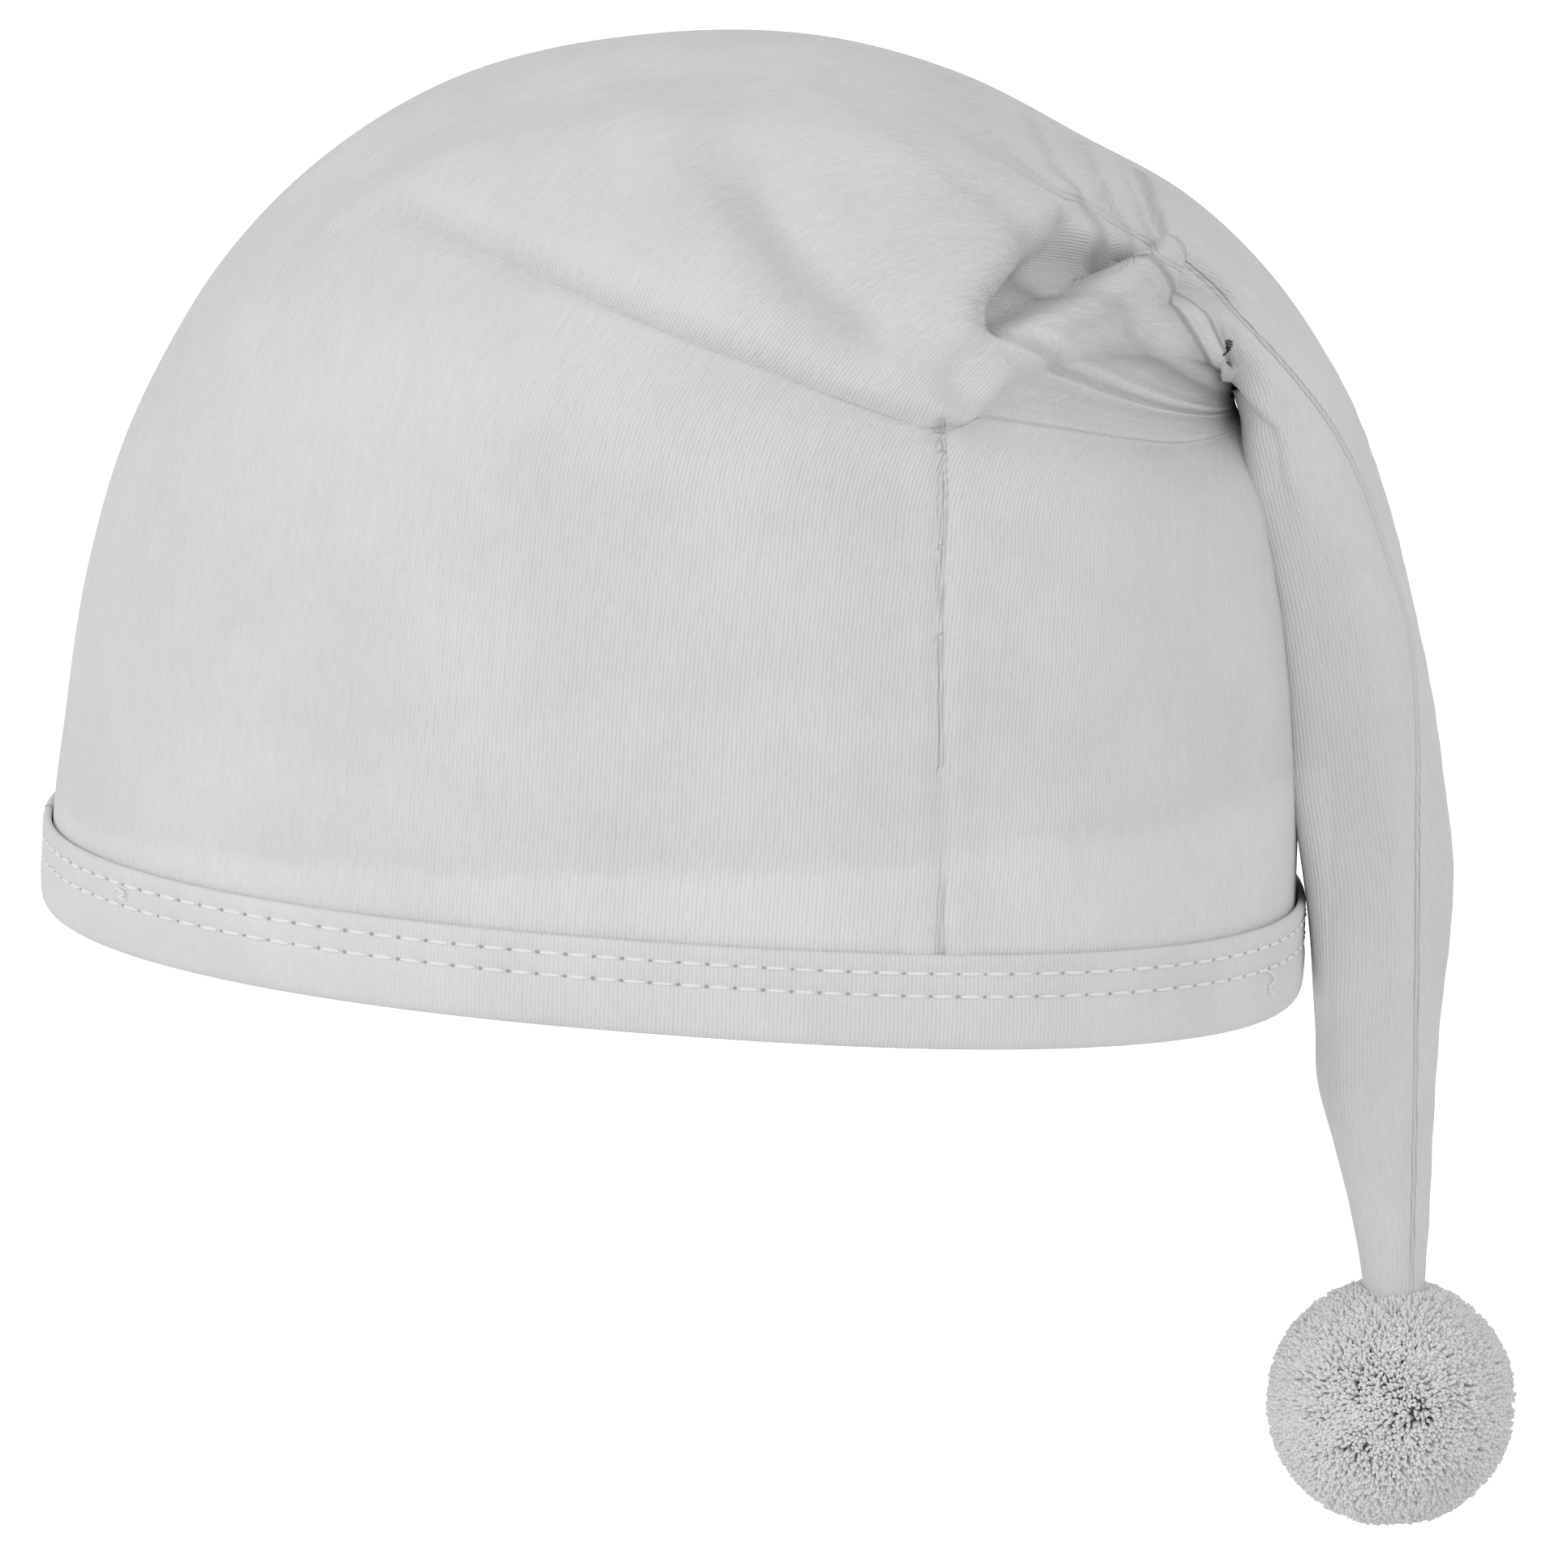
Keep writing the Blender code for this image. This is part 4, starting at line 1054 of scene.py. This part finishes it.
# The pompom. Soft white yarn, wound, bound at the middle and cut, then trimmed round. Its cut ends
# gather in small tufts with darker gaps between, and the tip of the tail is sewn into its top.
pompom_low, pompom_high = (np.array(corner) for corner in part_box("pompom"))
pompom_middle_x = (pompom_low[0] + pompom_high[0]) / 2
pompom_radius = 0.01925
pompom_middle = np.array([pompom_middle_x, 0.0, pompom_low[2] + pompom_radius])
core_radius = 0.0150
core_cover = 0.0010
yarn_length = 0.0050
yarn_radius = 0.00033
yarn_ends_each = 13300
tuft_size = 0.0070


def yarn_ball(tree_name, seed):
    """A tree that stands cut yarn ends on the faces it is given, leaning together in tufts."""
    numbers = ("Density", "Length", "Radius", "Tuft scale", "Lean")
    network, given = growing_tree(tree_name, numbers)

    def vectors(operation, first, second):
        return network.node("ShaderNodeVectorMath", {"operation": operation}, {0: first, 1: second})

    inputs = {"Mesh": given["Geometry"], "Density": given["Density"], "Seed": seed}
    points = network.node("GeometryNodeDistributePointsOnFaces", {}, inputs)
    rod = {"Vertices": 3, "Side Segments": 2, "Radius": 1.0, "Depth": 1.0}
    strand = network.node("GeometryNodeMeshCylinder", {}, rod)
    place = network.node("GeometryNodeInputPosition", {}, {})
    height = network.node("ShaderNodeSeparateXYZ", {}, {0: place}, output=2)
    aside = network.node("ShaderNodeCombineXYZ", {}, {0: height * height * 4.5, 2: 0.5})
    shaped = network.node("GeometryNodeSetPosition", {}, {"Geometry": strand, "Offset": aside})
    clump_inputs = {"Scale": given["Tuft scale"], "Detail": 1.0}
    clump = network.node("ShaderNodeTexNoise", {}, clump_inputs, output="Color")
    middle = vectors("SUBTRACT", clump, (0.5, 0.5, 0.5))
    lean_inputs = {0: middle, "Scale": given["Lean"]}
    lean = network.node("ShaderNodeVectorMath", {"operation": "SCALE"}, lean_inputs)
    loose = vector_between(network, (-0.22, -0.22, -0.22), (0.22, 0.22, 0.22), seed + 1)
    way = vectors("ADD", vectors("ADD", lean, loose), points.beside("Normal"))
    spin_inputs = {2: 0.0, 3: 2 * math.pi, "Seed": seed + 2}
    spin = network.node("FunctionNodeRandomValue", {}, spin_inputs, output=1)
    about = network.node("ShaderNodeCombineXYZ", {}, {2: spin})
    twist_inputs = {0: facing(network, way), 1: about}
    twist = network.node("FunctionNodeRotateRotation", {"rotation_space": "LOCAL"}, twist_inputs)
    radius, length = given["Radius"], given["Length"]
    size = network.node("ShaderNodeCombineXYZ", {}, {0: radius, 1: radius, 2: length})
    vary = vector_between(network, (0.75, 0.75, 0.80), (1.25, 1.25, 1.04), seed + 3)
    return stood_on_points(network, given, points, shaped, twist, size, vary)


def ball_mesh(name, radius, rings):
    """A closed ball of rings round the pompom's middle."""
    lean = np.linspace(0, np.pi, rings + 1)[1:-1]
    angle = 2 * np.pi * np.arange(2 * rings) / (2 * rings)
    ring = np.stack([np.cos(angle), np.sin(angle), 0 * angle], axis=-1)
    up = np.array([0.0, 0.0, 1.0])
    points = [pompom_middle + radius * (np.sin(a) * ring + np.cos(a) * up) for a in lean]
    at = np.arange(len(lean) * len(angle)).reshape(len(lean), -1)
    after = np.roll(at, -1, axis=1)
    faces = np.stack([at[:-1], at[1:], after[1:], after[:-1]], axis=-1).reshape(-1, 4).tolist()
    top, bottom = at.size, at.size + 1
    faces += [(int(a), int(b), top) for a, b in zip(at[0], after[0], strict=True)]
    faces += [(int(b), int(a), bottom) for a, b in zip(at[-1], after[-1], strict=True)]
    poles = np.array([pompom_middle + radius * up, pompom_middle - radius * up])
    mesh = bpy.data.meshes.new(name)
    mesh.from_pydata(np.vstack([*points, poles]).tolist(), [], faces)
    mesh.shade_smooth()
    return mesh


yarn_constants = {"Sheen Weight": 0.15, "Specular IOR Level": 0.15}
yarn = Recipe("yarn", (0.80, 0.80, 0.80), 0.95, yarn_constants)
yarn_tone = yarn.between(yarn.mottling(420.0, 2.0), 0.3, 0.7)
yarn.shade(yarn_tone, (0.93, 0.93, 0.93), (0.97, 0.97, 0.97))
core = stand("pompom_core", ball_mesh("pompom_core", core_radius + core_cover, 24))
core.data.materials.append(yarn.finish)
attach(core, "root")
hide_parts("pompom")
yarn_settings = {
    "Density": yarn_ends_each / (4 * math.pi * core_radius**2),
    "Length": yarn_length,
    "Radius": yarn_radius,
    "Tuft scale": 1 / tuft_size,
    "Lean": 1.9,
    "Finish": yarn.finish,
}
for part_name, seed in (("pompom_yarn", 11), ("pompom_yarn_between", 37)):
    tufts = grown(
        part_name, ball_mesh(part_name, core_radius, 40), yarn_ball(part_name, seed), yarn_settings
    )
    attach(tufts, "root")

# The stage: a white floor well below the hanging tail, white all round, a broad soft light in
# front, to the left of the camera, and a weaker one to the right of it. The camera stands where
# the photograph was taken from.
floor_level = -0.22
floor_reach = 9.0
floor_corners = [
    (side_x * floor_reach, side_y * floor_reach, floor_level)
    for side_x, side_y in ((-1, -1), (1, -1), (1, 1), (-1, 1))
]
floor_constants = {
    "Specular IOR Level": 0.0,
    "Emission Color": (1.0, 1.0, 1.0, 1.0),
    "Emission Strength": 0.60,
}
floor_white = Recipe("floor_white", (0.9, 0.9, 0.9), 1.0, floor_constants)
floor = mesh_object("floor", floor_corners, [(0, 1, 2, 3)], floor_white.finish, {})
floor.visible_diffuse = False

around = bpy.data.worlds.new("white_room")
around.use_nodes = True
room = around.node_tree
room_light = room.nodes["Background"]
room_light.inputs["Color"].default_value = (1.0, 1.0, 1.0, 1.0)
room_light.inputs["Strength"].default_value = 0.68
seen_white = room.nodes.new("ShaderNodeBackground")
seen_white.inputs["Strength"].default_value = 1.0
who_looks = room.nodes.new("ShaderNodeLightPath")
choose = room.nodes.new("ShaderNodeMixShader")
room.links.new(who_looks.outputs["Is Camera Ray"], choose.inputs[0])
room.links.new(room_light.outputs[0], choose.inputs[1])
room.links.new(seen_white.outputs[0], choose.inputs[2])
room.links.new(choose.outputs[0], room.nodes["World Output"].inputs["Surface"])
bpy.context.scene.world = around


def soft_light(name, power, size, place, towards):
    """A round soft light at a place, facing another."""
    lamp = bpy.data.lights.new(name, "AREA")
    lamp.shape = "DISK"
    lamp.size = size
    lamp.energy = power
    made = stand(name, lamp)
    made.location = place
    way = np.array(towards) - np.array(place)
    made.rotation_euler = (
        math.atan2(math.hypot(way[0], way[1]), -way[2]),
        0.0,
        math.atan2(way[1], way[0]) - math.pi / 2,
    )


lit_place = (0.0, 0.0, 0.03)
soft_light("key", power=9.0, size=0.9, place=(-1.6, -1.3, 0.55), towards=lit_place)
soft_light("fill", power=3.8, size=0.9, place=(0.9, -1.7, 0.9), towards=lit_place)

camera_data = bpy.data.cameras.new("camera")
camera_data.sensor_width = 36.0
camera_data.lens = 361.7
camera_data.clip_end = 30.0
camera = stand("camera", camera_data)
elevation = math.radians(10.5)
camera_away = 2.5
looked_at = (0.0178, 0.0, 0.0249)
camera.location = (
    looked_at[0],
    looked_at[1] - camera_away * math.cos(elevation),
    looked_at[2] + camera_away * math.sin(elevation),
)
camera.rotation_euler = (math.pi / 2 - elevation, 0.0, 0.0)
bpy.context.scene.camera = camera
bpy.context.scene.view_settings.view_transform = "Standard"
